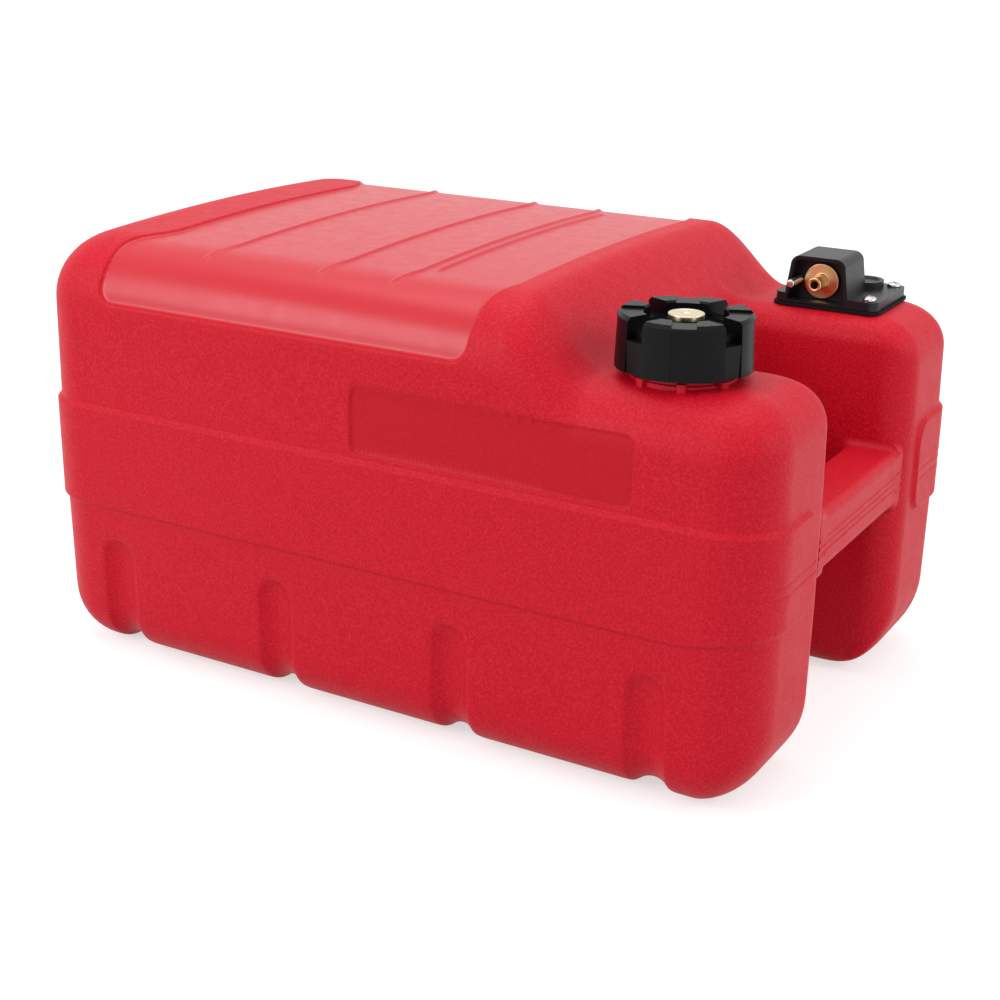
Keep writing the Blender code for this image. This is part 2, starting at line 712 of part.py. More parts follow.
def side_panel_tool():
    """What the shallow plain panel takes away from the near side."""
    outline = rounded_outline((SIDE_PANEL_REAR_X, SIDE_PANEL_BOTTOM_Z), (SIDE_PANEL_FRONT_X, SIDE_PANEL_TOP_Z),
                              SIDE_PANEL_CORNER)
    outer_y = -TANK_WIDTH / 2 - CUT_OVERRUN
    tool = prism("side_panel_tool", outline, outer_y, outer_y + LOBE_SIDE_ROUND, "XZ")
    cut(tool, tank_body("side_panel_floor", SIDE_PANEL_DEPTH, BODY_STEPS))
    return tool


def hump_ribs():
    """Low cross ribs that follow the panel's crown and bow back at its sides."""
    half = RIB_WIDTH / 2
    section = [(-half, -RIB_HEIGHT), (half, -RIB_HEIGHT), (half, 0), (half / 2, RIB_HEIGHT),
               (-half / 2, RIB_HEIGHT), (-half, 0)]
    ribs = []
    for middle_x, length in RIBS:
        rings = []
        for k in range(RIB_STATIONS):
            y = length * (k / (RIB_STATIONS - 1) - 0.5)
            x = middle_x + bow(y)
            over = max(abs(y) - TANK_WIDTH / 2 + HUMP_SIDE_ROUND + BELT_PROUD, 0)
            floor_z = top_height(x, y) - PANEL_DEPTH - HUMP_SIDE_ROUND
            floor_z += math.sqrt(HUMP_SIDE_ROUND ** 2 - over ** 2)
            rings.append([(x + u, y, floor_z + w) for u, w in section])
        ribs.append(loft("rib", rings))
    return ribs


def handle_bar():
    """The grip across the notch: a rounded bar, ridged in front, that flares into both lobes."""
    low_z, high_z = BAR_MIDDLE_Z - BAR_HEIGHT / 2, BAR_MIDDLE_Z + BAR_HEIGHT / 2
    back_x = BAR_FRONT_X - BAR_DEPTH
    outline = rounded_outline((back_x, low_z), (BAR_FRONT_X, high_z), BAR_CORNER, CORNER_STEPS)
    ridges = []
    flat = BAR_HEIGHT - 2 * BAR_CORNER
    for k in range(RIDGE_COUNT):
        z = BAR_MIDDLE_Z + flat * (k / (RIDGE_COUNT - 1) - 0.5)
        ridges += [(BAR_FRONT_X, z - RIDGE_WIDTH / 2), (BAR_FRONT_X + RIDGE_PROUD, z),
                   (BAR_FRONT_X, z + RIDGE_WIDTH / 2)]
    outline = ridges[1:-1] + outline[1:-1]
    wall_y = NOTCH_WIDTH / 2
    stations = [-wall_y - BAR_SINK] + [-wall_y + BAR_FILLET * (1 - math.cos(math.pi / 2 * k / CORNER_STEPS))
                                        for k in range(CORNER_STEPS + 1)]
    stations += [-y for y in reversed(stations)]
    rings = []
    for y in stations:
        near_wall = min(max(abs(y) - wall_y + BAR_FILLET, 0), BAR_FILLET)
        flare = BAR_FILLET - math.sqrt(BAR_FILLET ** 2 - near_wall ** 2)
        ring = []
        for x, z in outline:
            share_z = (z - BAR_MIDDLE_Z) / (BAR_HEIGHT / 2)
            share_x = max((BAR_FRONT_X - x) / BAR_DEPTH, 0)
            ring.append((x - flare * share_x, y, z + flare * share_z))
        rings.append(ring)
    return loft("handle_bar", rings)


def screw_places():
    return [(FITTING_X + sx * SCREW_DX, FITTING_Y + sy * SCREW_DY) for sx, sy in SCREW_PLACES]


def build_tank(mat):
    """Blow-moulded shell: outer form, hollow inside, with neck, lugs, bosses and holes."""
    shell = tank_body("tank_shell", 0, BODY_STEPS)
    cut(shell, hump_panel_tool(), side_panel_tool(), flute_tools("flutes", 0, 3))
    join(shell, handle_bar(), *hump_ribs())
    hollow = tank_body("hollow", WALL, HOLLOW_STEPS)
    cut(hollow, flute_tools("flute_walls", WALL, 2))
    cut(shell, hollow)
    under_z = DECK_HEIGHT - WALL / 2
    bosses = [rod("boss", (x, y, DECK_HEIGHT - WALL - INSERT_BOSS_DROP), (x, y, under_z), INSERT_BOSS_RADIUS, FINE_STEPS)
              for x, y in screw_places()]
    join(shell, merge_tools("bosses", bosses))
    neck = rod("neck", (NECK_X, NECK_Y, under_z), (NECK_X, NECK_Y, NECK_TOP_Z), NECK_RADIUS)
    collar = rod("collar", (NECK_X, NECK_Y, under_z), (NECK_X, NECK_Y, DECK_HEIGHT + NECK_COLLAR_HEIGHT),
                 NECK_COLLAR_RADIUS)
    lugs = []
    for k in range(LUG_COUNT):
        lug = box("lug", (NECK_RADIUS - WALL / 2, -LUG_WIDTH / 2, under_z), (LUG_REACH_RADIUS, LUG_WIDTH / 2, DECK_HEIGHT + LUG_HEIGHT))
        lug.data.transform(Matrix.Rotation(2 * math.pi * (k + 0.5) / LUG_COUNT, 4, "Z"))
        lug.data.transform(Matrix.Translation((NECK_X, NECK_Y, 0)))
        lugs.append(lug)
    join(shell, neck, collar, merge_tools("lugs", lugs))
    low_z = DECK_HEIGHT - WALL - INSERT_BOSS_DROP - CUT_OVERRUN
    holes = [rod("neck_bore", (NECK_X, NECK_Y, low_z), (NECK_X, NECK_Y, NECK_TOP_Z + CUT_OVERRUN), NECK_BORE_RADIUS),
             rod("spigot_hole", (HOOD_X, SPIGOT_Y, low_z), (HOOD_X, SPIGOT_Y, DECK_HEIGHT + CUT_OVERRUN),
                 SPIGOT_RADIUS + SEAT_GAP)]
    holes += [rod("insert_hole", (x, y, low_z), (x, y, DECK_HEIGHT + CUT_OVERRUN), INSERT_RADIUS + SEAT_GAP, FINE_STEPS)
              for x, y in screw_places()]
    cut(shell, merge_tools("holes", holes))
    return finish(shell, mat, 30)


def build_cap(mat):
    """Castellated screw cap: four grip lobes round a dished top, deep skirt over the neck."""
    top_z = CAP_BASE_Z + CAP_HEIGHT
    boss_z = CAP_CEILING_Z - CAP_BOSS_DROP
    profile = [(CAP_BORE_RADIUS, CAP_BASE_Z), (CAP_RADIUS, CAP_BASE_Z),
               (CAP_TOP_RADIUS, top_z - CAP_CHAMFER), (CAP_TOP_RADIUS - CAP_CHAMFER, top_z),
               (CAP_RECESS_RADIUS + CAP_CHAMFER / 2, top_z), (CAP_RECESS_RADIUS, top_z - CAP_CHAMFER / 2),
               (CAP_RECESS_RADIUS, CAP_FLOOR_Z), (BUSH_RADIUS + SEAT_GAP, CAP_FLOOR_Z),
               (BUSH_RADIUS + SEAT_GAP, boss_z), (CAP_BOSS_RADIUS, boss_z), (CAP_BOSS_RADIUS, CAP_CEILING_Z),
               (CAP_BORE_RADIUS, CAP_CEILING_Z)]
    cap = revolve("filler_cap", profile, 2 * ROUND_STEPS)
    reach = CAP_RADIUS + CUT_OVERRUN
    half_gap = CAP_GAP_WIDTH / 2
    below, above = CAP_BASE_Z - CUT_OVERRUN, top_z + CUT_OVERRUN
    start, sill_z, step_z = CAP_RECESS_RADIUS - CUT_OVERRUN, CAP_FLOOR_Z + CAP_SILL, top_z - CAP_STEP_DROP
    gap = [(start, sill_z), (CAP_STEP_RADIUS, sill_z), (CAP_STEP_RADIUS, step_z), (CAP_FLAT_RADIUS, step_z),
           (CAP_FLAT_RADIUS, below), (reach, below), (reach, above), (start, above)]
    for k in range(CAP_LOBES):
        lobe_turn = 2 * math.pi * k / CAP_LOBES + math.radians(CAP_REST_TURN_DEG) - math.pi / 2
        slot = prism("slot", gap, -half_gap, half_gap, "XZ")
        facet = box("facet", (CAP_RADIUS - CAP_FACET_DEPTH, -CAP_FACET_WIDTH / 2, below),
                    (reach, CAP_FACET_WIDTH / 2, above))
        slot.data.transform(Matrix.Rotation(lobe_turn + math.pi / CAP_LOBES, 4, "Z"))
        facet.data.transform(Matrix.Rotation(lobe_turn, 4, "Z"))
        cut(cap, slot, facet)
    cap.data.transform(Matrix.Translation((NECK_X, NECK_Y, 0)))
    place_origin(cap, (NECK_X, NECK_Y, CAP_BASE_Z))
    return finish(cap, mat)


def build_cap_gasket(mat):
    """Flat rubber ring between the cap's ceiling and the neck's rim."""
    low, high = NECK_TOP_Z + SEAT_GAP, CAP_CEILING_Z - SEAT_GAP
    inner, outer = NECK_BORE_RADIUS, CAP_BORE_RADIUS - GASKET_INSET
    gasket = revolve("cap_gasket", [(inner, low), (outer, low), (outer, high), (inner, high)],
                     ROUND_STEPS, (NECK_X, NECK_Y, 0))
    place_origin(gasket, (NECK_X, NECK_Y, low))
    return finish(gasket, mat)


def build_vent(brass, rubber):
    """Brass bush in the cap, the finger screw in it, and the seal under the screw's head."""
    bush_low = CAP_CEILING_Z - CAP_BOSS_DROP
    bore = VENT_STEM_RADIUS + SEAT_GAP
    bush = revolve("vent_bush", [(bore, bush_low), (BUSH_RADIUS, bush_low), (BUSH_RADIUS, BUSH_TOP_Z - BUSH_FLANGE_THICKNESS),
                                 (BUSH_FLANGE_RADIUS, BUSH_TOP_Z - BUSH_FLANGE_THICKNESS),
                                 (BUSH_FLANGE_RADIUS, BUSH_TOP_Z), (bore, BUSH_TOP_Z)],
                   FINE_STEPS, (NECK_X, NECK_Y, 0))
    seal_low, seal_high = VENT_SEAL_Z, VENT_SEAL_Z + SEAL_THICKNESS
    seal = revolve("vent_seal", [(bore, seal_low), (SEAL_RADIUS, seal_low), (SEAL_RADIUS, seal_high), (bore, seal_high)],
                   FINE_STEPS, (NECK_X, NECK_Y, 0))
    top = VENT_DISC_Z + VENT_DISC_THICKNESS
    stem_low = VENT_DISC_Z - VENT_STEM_LENGTH
    profile = [(0, stem_low), (VENT_STEM_RADIUS, stem_low), (VENT_STEM_RADIUS, VENT_DISC_Z),
               (VENT_DISC_RADIUS - VENT_DISC_BEVEL, VENT_DISC_Z), (VENT_DISC_RADIUS, VENT_DISC_Z + VENT_DISC_BEVEL),
               (VENT_DISC_RADIUS, top - VENT_DISC_BEVEL), (VENT_DISC_RADIUS - VENT_DISC_BEVEL, top),
               (VENT_DIMPLE_RADIUS, top), (0, top - VENT_DIMPLE_DEPTH)]
    screw = revolve("vent_screw", profile, ROUND_STEPS, (NECK_X, NECK_Y, 0))
    for item in (bush, seal, screw):
        place_origin(item, (NECK_X, NECK_Y, VENT_DISC_Z))
    return [finish(bush, brass), finish(seal, rubber), finish(screw, brass)]


def build_fitting_gasket(mat):
    """Rubber sheet under the fitting's plate, with holes for the spigot and the screws."""
    low, high = DECK_HEIGHT + SEAT_GAP, DECK_HEIGHT + SEAT_GAP + GASKET_SHEET
    half = (GASKET_LENGTH / 2, GASKET_DEPTH / 2)
    outline = rounded_outline((FITTING_X - half[0], FITTING_Y - half[1]), (FITTING_X + half[0], FITTING_Y + half[1]),
                              PLATE_CORNER + PLATE_EDGE)
    sheet = prism("fitting_gasket", outline, low, high)
    holes = [rod("hole", (HOOD_X, SPIGOT_Y, low - CUT_OVERRUN), (HOOD_X, SPIGOT_Y, high + CUT_OVERRUN),
                 SPIGOT_RADIUS + SEAT_GAP)]
    holes += [rod("hole", (x, y, low - CUT_OVERRUN), (x, y, high + CUT_OVERRUN), SCREW_SHANK_RADIUS + SEAT_GAP, FINE_STEPS)
              for x, y in screw_places()]
    cut(sheet, merge_tools("gasket_holes", holes))
    return finish(sheet, mat)


def hood_outline(inset, foot_z):
    """Front view of the hood: sides that lean in, rounded shoulders."""
    foot = HOOD_FOOT_WIDTH / 2 - inset
    top = HOOD_TOP_WIDTH / 2 - inset
    high = HOOD_TOP_HEIGHT + PLATE_TOP_Z - inset
    corner = HOOD_CORNER - inset
    points = [(HOOD_X + foot, foot_z)]
    for side, start in ((1, 0), (-1, 90)):
        for k in range(CORNER_STEPS + 1):
            a = math.radians(start + 90 * k / CORNER_STEPS)
            points.append((HOOD_X + side * (top - corner) + corner * math.cos(a), high - corner + corner * math.sin(a)))
    points.append((HOOD_X - foot, foot_z))
    return points


def build_housing(mat):
    """Moulded fitting: base plate, open-fronted hood, blank boss, spigot and barb underneath."""
    half = (PLATE_LENGTH / 2, PLATE_DEPTH / 2)
    plate = prism("fitting_housing", rounded_outline((FITTING_X - half[0], FITTING_Y - half[1]),
                                                     (FITTING_X + half[0], FITTING_Y + half[1]), PLATE_CORNER),
                  PLATE_BOTTOM_Z, PLATE_TOP_Z)
    bevel = plate.modifiers.new("edge", "BEVEL")
    bevel.width = PLATE_BEVEL
    bevel.segments = 1
    bevel.limit_method = "ANGLE"
    bevel.angle_limit = math.radians(60)
    evaluated_copy(plate)
    middle_z = (PLATE_BOTTOM_Z + PLATE_TOP_Z) / 2
    hood = prism("hood", hood_outline(0, middle_z), HOOD_FRONT_Y, HOOD_FRONT_Y + HOOD_DEPTH, "XZ")
    boss_x, boss_y = FITTING_X + BLANK_BOSS_DX, FITTING_Y + BLANK_BOSS_DY
    boss_top = PLATE_TOP_Z + BLANK_BOSS_HEIGHT
    boss = rod("boss", (boss_x, boss_y, middle_z), (boss_x, boss_y, boss_top), BLANK_BOSS_RADIUS)
    spigot = rod("spigot", (HOOD_X, SPIGOT_Y, SPIGOT_BOTTOM_Z), (HOOD_X, SPIGOT_Y, middle_z), SPIGOT_RADIUS)
    barb = rod("barb", (HOOD_X, SPIGOT_Y, SPIGOT_BOTTOM_Z - BARB_LENGTH), (HOOD_X, SPIGOT_Y, middle_z), BARB_RADIUS,
               FINE_STEPS)
    join(plate, hood, boss, spigot, barb)
    mouth_floor = PLATE_BOTTOM_Z + HOOD_FLOOR
    front = FITTING_Y - half[1] - CUT_OVERRUN
    mouth = prism("mouth", hood_outline(HOOD_WALL, mouth_floor), front, MOUTH_BACK_Y, "XZ")
    dish = rod("dish", (boss_x, boss_y, boss_top - BLANK_BOSS_DISH), (boss_x, boss_y, boss_top + CUT_OVERRUN),
               BLANK_BOSS_RADIUS - BLANK_BOSS_RIM)
    shank = rod("shank_bore", (HOOD_X, MOUTH_BACK_Y - CUT_OVERRUN, OUTLET_Z), (HOOD_X, SHANK_END_Y + SEAT_GAP, OUTLET_Z),
                SHANK_RADIUS + SEAT_GAP)
    across = rod("passage", (HOOD_X, MOUTH_BACK_Y, OUTLET_Z), (HOOD_X, SPIGOT_Y + PASSAGE_RADIUS, OUTLET_Z),
                 PASSAGE_RADIUS, FINE_STEPS)
    down = rod("drop", (HOOD_X, SPIGOT_Y, SPIGOT_BOTTOM_Z - BARB_LENGTH - CUT_OVERRUN),
               (HOOD_X, SPIGOT_Y, OUTLET_Z), PASSAGE_RADIUS, FINE_STEPS)
    pin = rod("pin_bore", (PIN_X, MOUTH_BACK_Y - CUT_OVERRUN, OUTLET_Z), (PIN_X, MOUTH_BACK_Y + PIN_SOCKET, OUTLET_Z),
              PIN_RADIUS + SEAT_GAP, FINE_STEPS)
    groove_depth = 2 * OUTLET_SEAL_CORD + SEAT_GAP
    groove_in = OUTLET_SEAL_RADIUS - OUTLET_SEAL_CORD - SEAT_GAP
    groove_out = OUTLET_SEAL_RADIUS + OUTLET_SEAL_CORD + SEAT_GAP
    groove = revolve("groove", [(groove_in, -CUT_OVERRUN), (groove_out, -CUT_OVERRUN), (groove_out, groove_depth),
                                (groove_in, groove_depth)], ROUND_STEPS, (HOOD_X, MOUTH_BACK_Y, OUTLET_Z), (0, 1, 0))
    cut(plate, mouth, dish, shank, across, down, pin, groove)
    holes = [rod("hole", (x, y, PLATE_BOTTOM_Z - CUT_OVERRUN), (x, y, PLATE_TOP_Z + CUT_OVERRUN),
                 SCREW_SHANK_RADIUS + SEAT_GAP, FINE_STEPS) for x, y in screw_places()]
    cut(plate, merge_tools("plate_holes", holes))
    return finish(plate, mat)


def build_outlet(brass, rubber):
    """Brass nipple with a flange and a shank, and the ring that seals it into the housing."""
    tip, flange, back, end = NIPPLE_TIP_Y, FLANGE_FRONT_Y, FLANGE_BACK_Y, SHANK_END_Y
    profile = [(NIPPLE_BORE_RADIUS, tip), (NIPPLE_RADIUS - NIPPLE_BEVEL, tip), (NIPPLE_RADIUS, tip + NIPPLE_BEVEL),
               (NIPPLE_RADIUS, flange), (OUTLET_FLANGE_RADIUS - NIPPLE_BEVEL, flange),
               (OUTLET_FLANGE_RADIUS, flange + NIPPLE_BEVEL), (OUTLET_FLANGE_RADIUS, back), (SHANK_RADIUS, back),
               (SHANK_RADIUS, end), (NIPPLE_BORE_RADIUS, end)]
    centre = (HOOD_X, 0, OUTLET_Z)
    along = (0, 1, 0)
    nipple = revolve("outlet_nipple", profile, ROUND_STEPS, centre, along)
    ring = []
    for k in range(SEAL_SIDES):
        a = 2 * math.pi * k / SEAL_SIDES
        ring.append((OUTLET_SEAL_RADIUS + OUTLET_SEAL_CORD * math.cos(a),
                     MOUTH_BACK_Y + OUTLET_SEAL_CORD + SEAT_GAP / 2 + OUTLET_SEAL_CORD * math.sin(a)))
    seal = revolve("outlet_seal", ring, ROUND_STEPS, centre, along)
    return [finish(nipple, brass), finish(seal, rubber)]


def build_pin(mat):
    """Steel pin that lets the hose connector seat one way round only."""
    tip = HOOD_FRONT_Y - PIN_PROUD
    end = MOUTH_BACK_Y + PIN_SOCKET - SEAT_GAP
    pin = revolve("locating_pin", [(0, tip), (PIN_RADIUS - PIN_BEVEL, tip), (PIN_RADIUS, tip + PIN_BEVEL),
                                   (PIN_RADIUS, end), (0, end)], FINE_STEPS, (PIN_X, 0, OUTLET_Z), (0, 1, 0))
    return finish(pin, mat)


def build_screws(steel, brass):
    """Pan-head screws through the plate and the gasket, and their inserts in the deck."""
    pieces = []
    head_z = PLATE_TOP_Z + SEAT_GAP
    insert_high = DECK_HEIGHT
    insert_low = insert_high - INSERT_LENGTH
    for k, (x, y) in enumerate(screw_places(), 1):
        screw_low = insert_high - SCREW_GRIP
        profile = [(0, screw_low), (SCREW_SHANK_RADIUS, screw_low), (SCREW_SHANK_RADIUS, head_z), (SCREW_HEAD_RADIUS, head_z)]
        for j in range(DOME_STEPS + 1):
            a = math.pi / 2 * j / DOME_STEPS
            profile.append((SCREW_HEAD_RADIUS * math.cos(a) if j < DOME_STEPS else 0,
                            head_z + SCREW_HEAD_HEIGHT * (1 + 2 * math.sin(a)) / 3))
        screw = revolve("plate_screw_%d" % k, profile, FINE_STEPS, (x, y, 0))
        drive_z = head_z + SCREW_HEAD_HEIGHT
        arm, side = DRIVE_LENGTH / 2, DRIVE_WIDTH / 2
        cross = [(arm, -side), (arm, side), (side, side), (side, arm), (-side, arm), (-side, side),
                 (-arm, side), (-arm, -side), (-side, -side), (-side, -arm), (side, -arm), (side, -side)]
        turned = Matrix.Rotation(math.radians(DRIVE_TURN_DEG * k), 2)
        cross = [turned @ Vector(point) for point in cross]
        cut(screw, prism("drive", [(x + u, y + v) for u, v in cross], drive_z - DRIVE_DEPTH, drive_z + CUT_OVERRUN))
        bore = SCREW_SHANK_RADIUS + SEAT_GAP
        insert = revolve("screw_insert_%d" % k, [(bore, insert_low), (INSERT_RADIUS, insert_low),
                                                 (INSERT_RADIUS, insert_high), (bore, insert_high)], FINE_STEPS, (x, y, 0))
        pieces += [finish(screw, steel), finish(insert, brass)]
    return pieces


def build_pickup(clear, black, steel):
    """Tube down to the floor of the far lobe, ending in a strainer."""
    bore = BARB_RADIUS + SEAT_GAP
    outer = bore + TUBE_WALL
    high = SPIGOT_BOTTOM_Z - SEAT_GAP
    low = STRAINER_TOP_Z + SEAT_GAP
    centre = (HOOD_X, SPIGOT_Y, 0)
    tube = revolve("pickup_tube", [(bore, low), (outer, low), (outer, high), (bore, high)], FINE_STEPS, centre)
    body = revolve("strainer_body", [(PASSAGE_RADIUS, STRAINER_TOP_Z - STRAINER_END), (STRAINER_RADIUS, STRAINER_TOP_Z - STRAINER_END),
                                     (STRAINER_RADIUS, STRAINER_TOP_Z), (BARB_RADIUS, STRAINER_TOP_Z),
                                     (BARB_RADIUS, STRAINER_TOP_Z + STRAINER_STUB), (PASSAGE_RADIUS, STRAINER_TOP_Z + STRAINER_STUB)],
                   FINE_STEPS, centre)
    foot = rod("foot", (HOOD_X, SPIGOT_Y, STRAINER_BOTTOM_Z), (HOOD_X, SPIGOT_Y, STRAINER_BOTTOM_Z + STRAINER_END),
               STRAINER_RADIUS, FINE_STEPS)
    join(body, foot)
    for k in range(STRAINER_POSTS):
        a = 2 * math.pi * k / STRAINER_POSTS + math.radians(STRAINER_TURN_DEG)
        x, y = HOOD_X + STRAINER_POST_RADIUS * math.cos(a), SPIGOT_Y + STRAINER_POST_RADIUS * math.sin(a)
        join(body, rod("post", (x, y, STRAINER_BOTTOM_Z + STRAINER_END / 2),
                       (x, y, STRAINER_TOP_Z - STRAINER_END / 2), STRAINER_POST_WIDTH / 2, SEAL_SIDES))
    mesh_low, mesh_high = STRAINER_BOTTOM_Z + STRAINER_END + SEAT_GAP, STRAINER_TOP_Z - STRAINER_END - SEAT_GAP
    inner = STRAINER_RADIUS - MESH_THICKNESS
    screen = revolve("strainer_mesh", [(inner, mesh_low), (STRAINER_RADIUS, mesh_low), (STRAINER_RADIUS, mesh_high),
                                       (inner, mesh_high)], FINE_STEPS, centre)
    return [finish(tube, clear), finish(body, black), finish(screen, steel)]


def build():
    clear_scene()
    red = material("red_polyethylene", "D22F3E", 0.45)
    black = material("black_plastic", "252427", 0.42)
    rubber = material("black_rubber", "1C1B1C", 0.8)
    brass = material("brass", "CDAE7C", 0.25, 1.0)
    steel = material("plated_steel", "C9CBCE", 0.22, 1.0)
    clear = material("milky_tube", "D9D6CC", 0.4)
    build_tank(red)
    build_cap(black)
    build_cap_gasket(rubber)
    build_vent(brass, rubber)
    build_fitting_gasket(rubber)
    build_housing(black)
    build_outlet(brass, rubber)
    build_pin(steel)
    build_screws(steel, brass)
    build_pickup(clear, black, steel)


build()
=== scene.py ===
import math

import bmesh
import bpy
import numpy as np
from mathutils import Matrix, Vector


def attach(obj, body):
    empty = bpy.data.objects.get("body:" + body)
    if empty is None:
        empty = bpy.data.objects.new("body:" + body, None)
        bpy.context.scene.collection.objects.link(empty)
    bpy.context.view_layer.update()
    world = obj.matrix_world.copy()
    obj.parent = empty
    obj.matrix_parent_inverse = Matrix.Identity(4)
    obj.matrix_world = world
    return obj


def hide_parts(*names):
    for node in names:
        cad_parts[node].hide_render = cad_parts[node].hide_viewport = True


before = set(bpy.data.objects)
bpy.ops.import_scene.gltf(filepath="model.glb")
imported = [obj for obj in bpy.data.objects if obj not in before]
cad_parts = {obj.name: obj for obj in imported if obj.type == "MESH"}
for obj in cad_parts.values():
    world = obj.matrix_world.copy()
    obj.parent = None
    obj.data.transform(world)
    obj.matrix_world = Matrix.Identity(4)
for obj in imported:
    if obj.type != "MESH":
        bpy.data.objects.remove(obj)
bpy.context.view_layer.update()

MM = 0.001

# Tank shell. One blow moulding in red polyethylene: hump, deck with two lobes, notch for the hand.
# The mould is sand-textured, apart from the smooth panel that lies over the hump. The plan is drawn
# as half a ring of points, and the levels of the shell are that ring, drawn in by each round and draft.
LENGTH, WIDTH = 500 * MM, 320 * MM
HUMP_TOP, HUMP_CROWN, DECK_TOP = 268.5 * MM, 3 * MM, 230 * MM
SLOPE_TOP_X, SLOPE_FOOT_X = 88 * MM, 139 * MM
DRAFT = math.tan(math.radians(0.7))
REAR_CORNER, FRONT_CORNER, CORNER_SOFT = 38 * MM, 35 * MM, 0.3
SOFT_END_X = (-137 * MM, 183.5 * MM)
NOTCH_HALF, NOTCH_BACK_X, NOTCH_ROOT, NOTCH_MOUTH = 61.5 * MM, 136 * MM, 16 * MM, 20 * MM
HUMP_SIDE_ROUND, LOBE_SIDE_ROUND, NOTCH_ROUND = 43 * MM, 32 * MM, 16 * MM
REAR_TOP_ROUND, FRONT_TOP_ROUND = 38 * MM, 27 * MM
FOOT_ROUND, REAR_FOOT, FRONT_FOOT = 29 * MM, (38 * MM, 42 * MM), (40 * MM, 50 * MM)
BELT_LOW, BELT_HIGH, BELT_PROUD, BELT_SLANT = 101 * MM, 163.6 * MM, 2.5 * MM, 2.8 * MM
BELT_END_Y, BELT_END_CORNER = 88 * MM, 12 * MM
BELT_LIFT, BELT_LIFT_XS = 6.5 * MM, (195 * MM, 246 * MM)
ACROSS_SIDE, ACROSS_MIDDLE, END_STEPS = 22, 15, 3
CORNER_STEPS, ROOT_STEPS, SIDE_STEPS, NOTCH_STEPS = 20, 12, (25, 87, 12, 12, 12), 24
FOOT_LEVELS, TOP_LEVELS, UPPER_WALL_LEVELS = 14, 18, 9
WALL_LEVELS = ((92, 14), (94.5, 1), (95.5, 1), (96.5, 1), (97.5, 1), (98.5, 1), (99.5, 1), (100.5, 1),
               (102, 1), (161.5, 20), (163, 1), (164, 1), (165, 1), (166, 1), (167, 1), (168, 1), (169.2, 1))
WELD = 0.25 * MM


def ease(t):
    t = np.clip(t, 0, 1)
    return t * t * (3 - 2 * t)


def deck_share(x):
    return ease((x - SLOPE_TOP_X) / (SLOPE_FOOT_X - SLOPE_TOP_X))


def top_height(x, y):
    crown = HUMP_CROWN * np.maximum(1 - (y / (WIDTH / 2 - HUMP_SIDE_ROUND)) ** 2, 0)
    return HUMP_TOP + crown + (DECK_TOP - HUMP_TOP - crown) * deck_share(x)


def plan_line(start, end, count, way, late_way=None, slide=None):
    """Points along a straight stretch of the plan, without the first one."""
    rows = []
    for k in range(1, count + 1):
        t = k / count
        share = np.nan if slide is None else slide[0] + (slide[1] - slide[0]) * t
        follow = [a + (b - a) * t for a, b in zip(way, late_way or way)]
        face = [float(abs(f) > CORNER_SOFT) for f in way]
        rows.append((start[0] + (end[0] - start[0]) * t, start[1] + (end[1] - start[1]) * t,
                     *face, *follow, share))
    return rows


def plan_corner(centre, radius, start, end, count, way, soft=0.0, slide=np.nan):
    """Points round a corner of the plan, without the first one."""
    rows = []
    for k in range(1, count + 1):
        a = math.radians(start + (end - start) * k / count)
        nx, ny = abs(math.cos(a)), abs(math.sin(a))
        rows.append((centre[0] + radius * math.cos(a), centre[1] + radius * math.sin(a), nx, ny,
                     way[0] * (soft + (1 - soft) * nx), way[1] * (soft + (1 - soft) * ny), slide))
    return rows


def tank_plan():
    """Half plan of the tank, from the middle of the rear face to the middle of the notch's back."""
    half_l, half_w = LENGTH / 2, WIDTH / 2
    bay = NOTCH_HALF - NOTCH_ROOT
    rear_x, front_x = -half_l + REAR_CORNER, half_l - FRONT_CORNER
    row_x, root_x = NOTCH_BACK_X - NOTCH_ROUND, NOTCH_BACK_X + NOTCH_ROOT
    mouth_y = -NOTCH_HALF - NOTCH_MOUTH
    soft = CORNER_SOFT
    plan = [(-half_l, 0.0, 1, 0, -1, 0, np.nan)]
    plan += plan_line((-half_l, 0), (-half_l, -bay), ACROSS_MIDDLE, (-1, 0))
    plan += plan_line((-half_l, -bay), (-half_l, -half_w + REAR_CORNER), ACROSS_SIDE, (-1, 0), (-1, -soft))
    plan += plan_corner((rear_x, -half_w + REAR_CORNER), REAR_CORNER, 180, 270, CORNER_STEPS, (-1, -1), soft)
    side_xs = (rear_x, SOFT_END_X[0], row_x, root_x, SOFT_END_X[1], front_x)
    straight = (0, -1)
    side_ways = (((-soft, -1), straight), (straight,), (straight,), (straight,), (straight, (soft, -1)))
    for x_from, x_to, count, ways in zip(side_xs, side_xs[1:], SIDE_STEPS, side_ways):
        plan += plan_line((x_from, -half_w), (x_to, -half_w), count, *ways)
    plan += plan_corner((front_x, -half_w + FRONT_CORNER), FRONT_CORNER, 270, 360, CORNER_STEPS,
                        (1, -1), soft)
    plan += plan_line((half_l, -half_w + FRONT_CORNER), (half_l, -BELT_END_Y), ACROSS_SIDE - END_STEPS,
                      (1, -soft), (1, 0))
    plan += plan_line((half_l, -BELT_END_Y), (half_l, mouth_y), END_STEPS, (1, 0))
    plan += plan_corner((half_l - NOTCH_MOUTH, mouth_y), NOTCH_MOUTH, 0, 90, CORNER_STEPS, (1, 1), slide=1)
    plan += plan_line((half_l - NOTCH_MOUTH, -NOTCH_HALF), (root_x, -NOTCH_HALF), NOTCH_STEPS,
                      (0, 1), slide=(1, 0))
    plan += plan_corner((root_x, -bay), NOTCH_ROOT, 270, 180, ROOT_STEPS, (1, 1), slide=0)
    plan += plan_line((NOTCH_BACK_X, -bay), (NOTCH_BACK_X, 0), ACROSS_MIDDLE, (1, 0), slide=(0, 0))
    return np.array(plan)


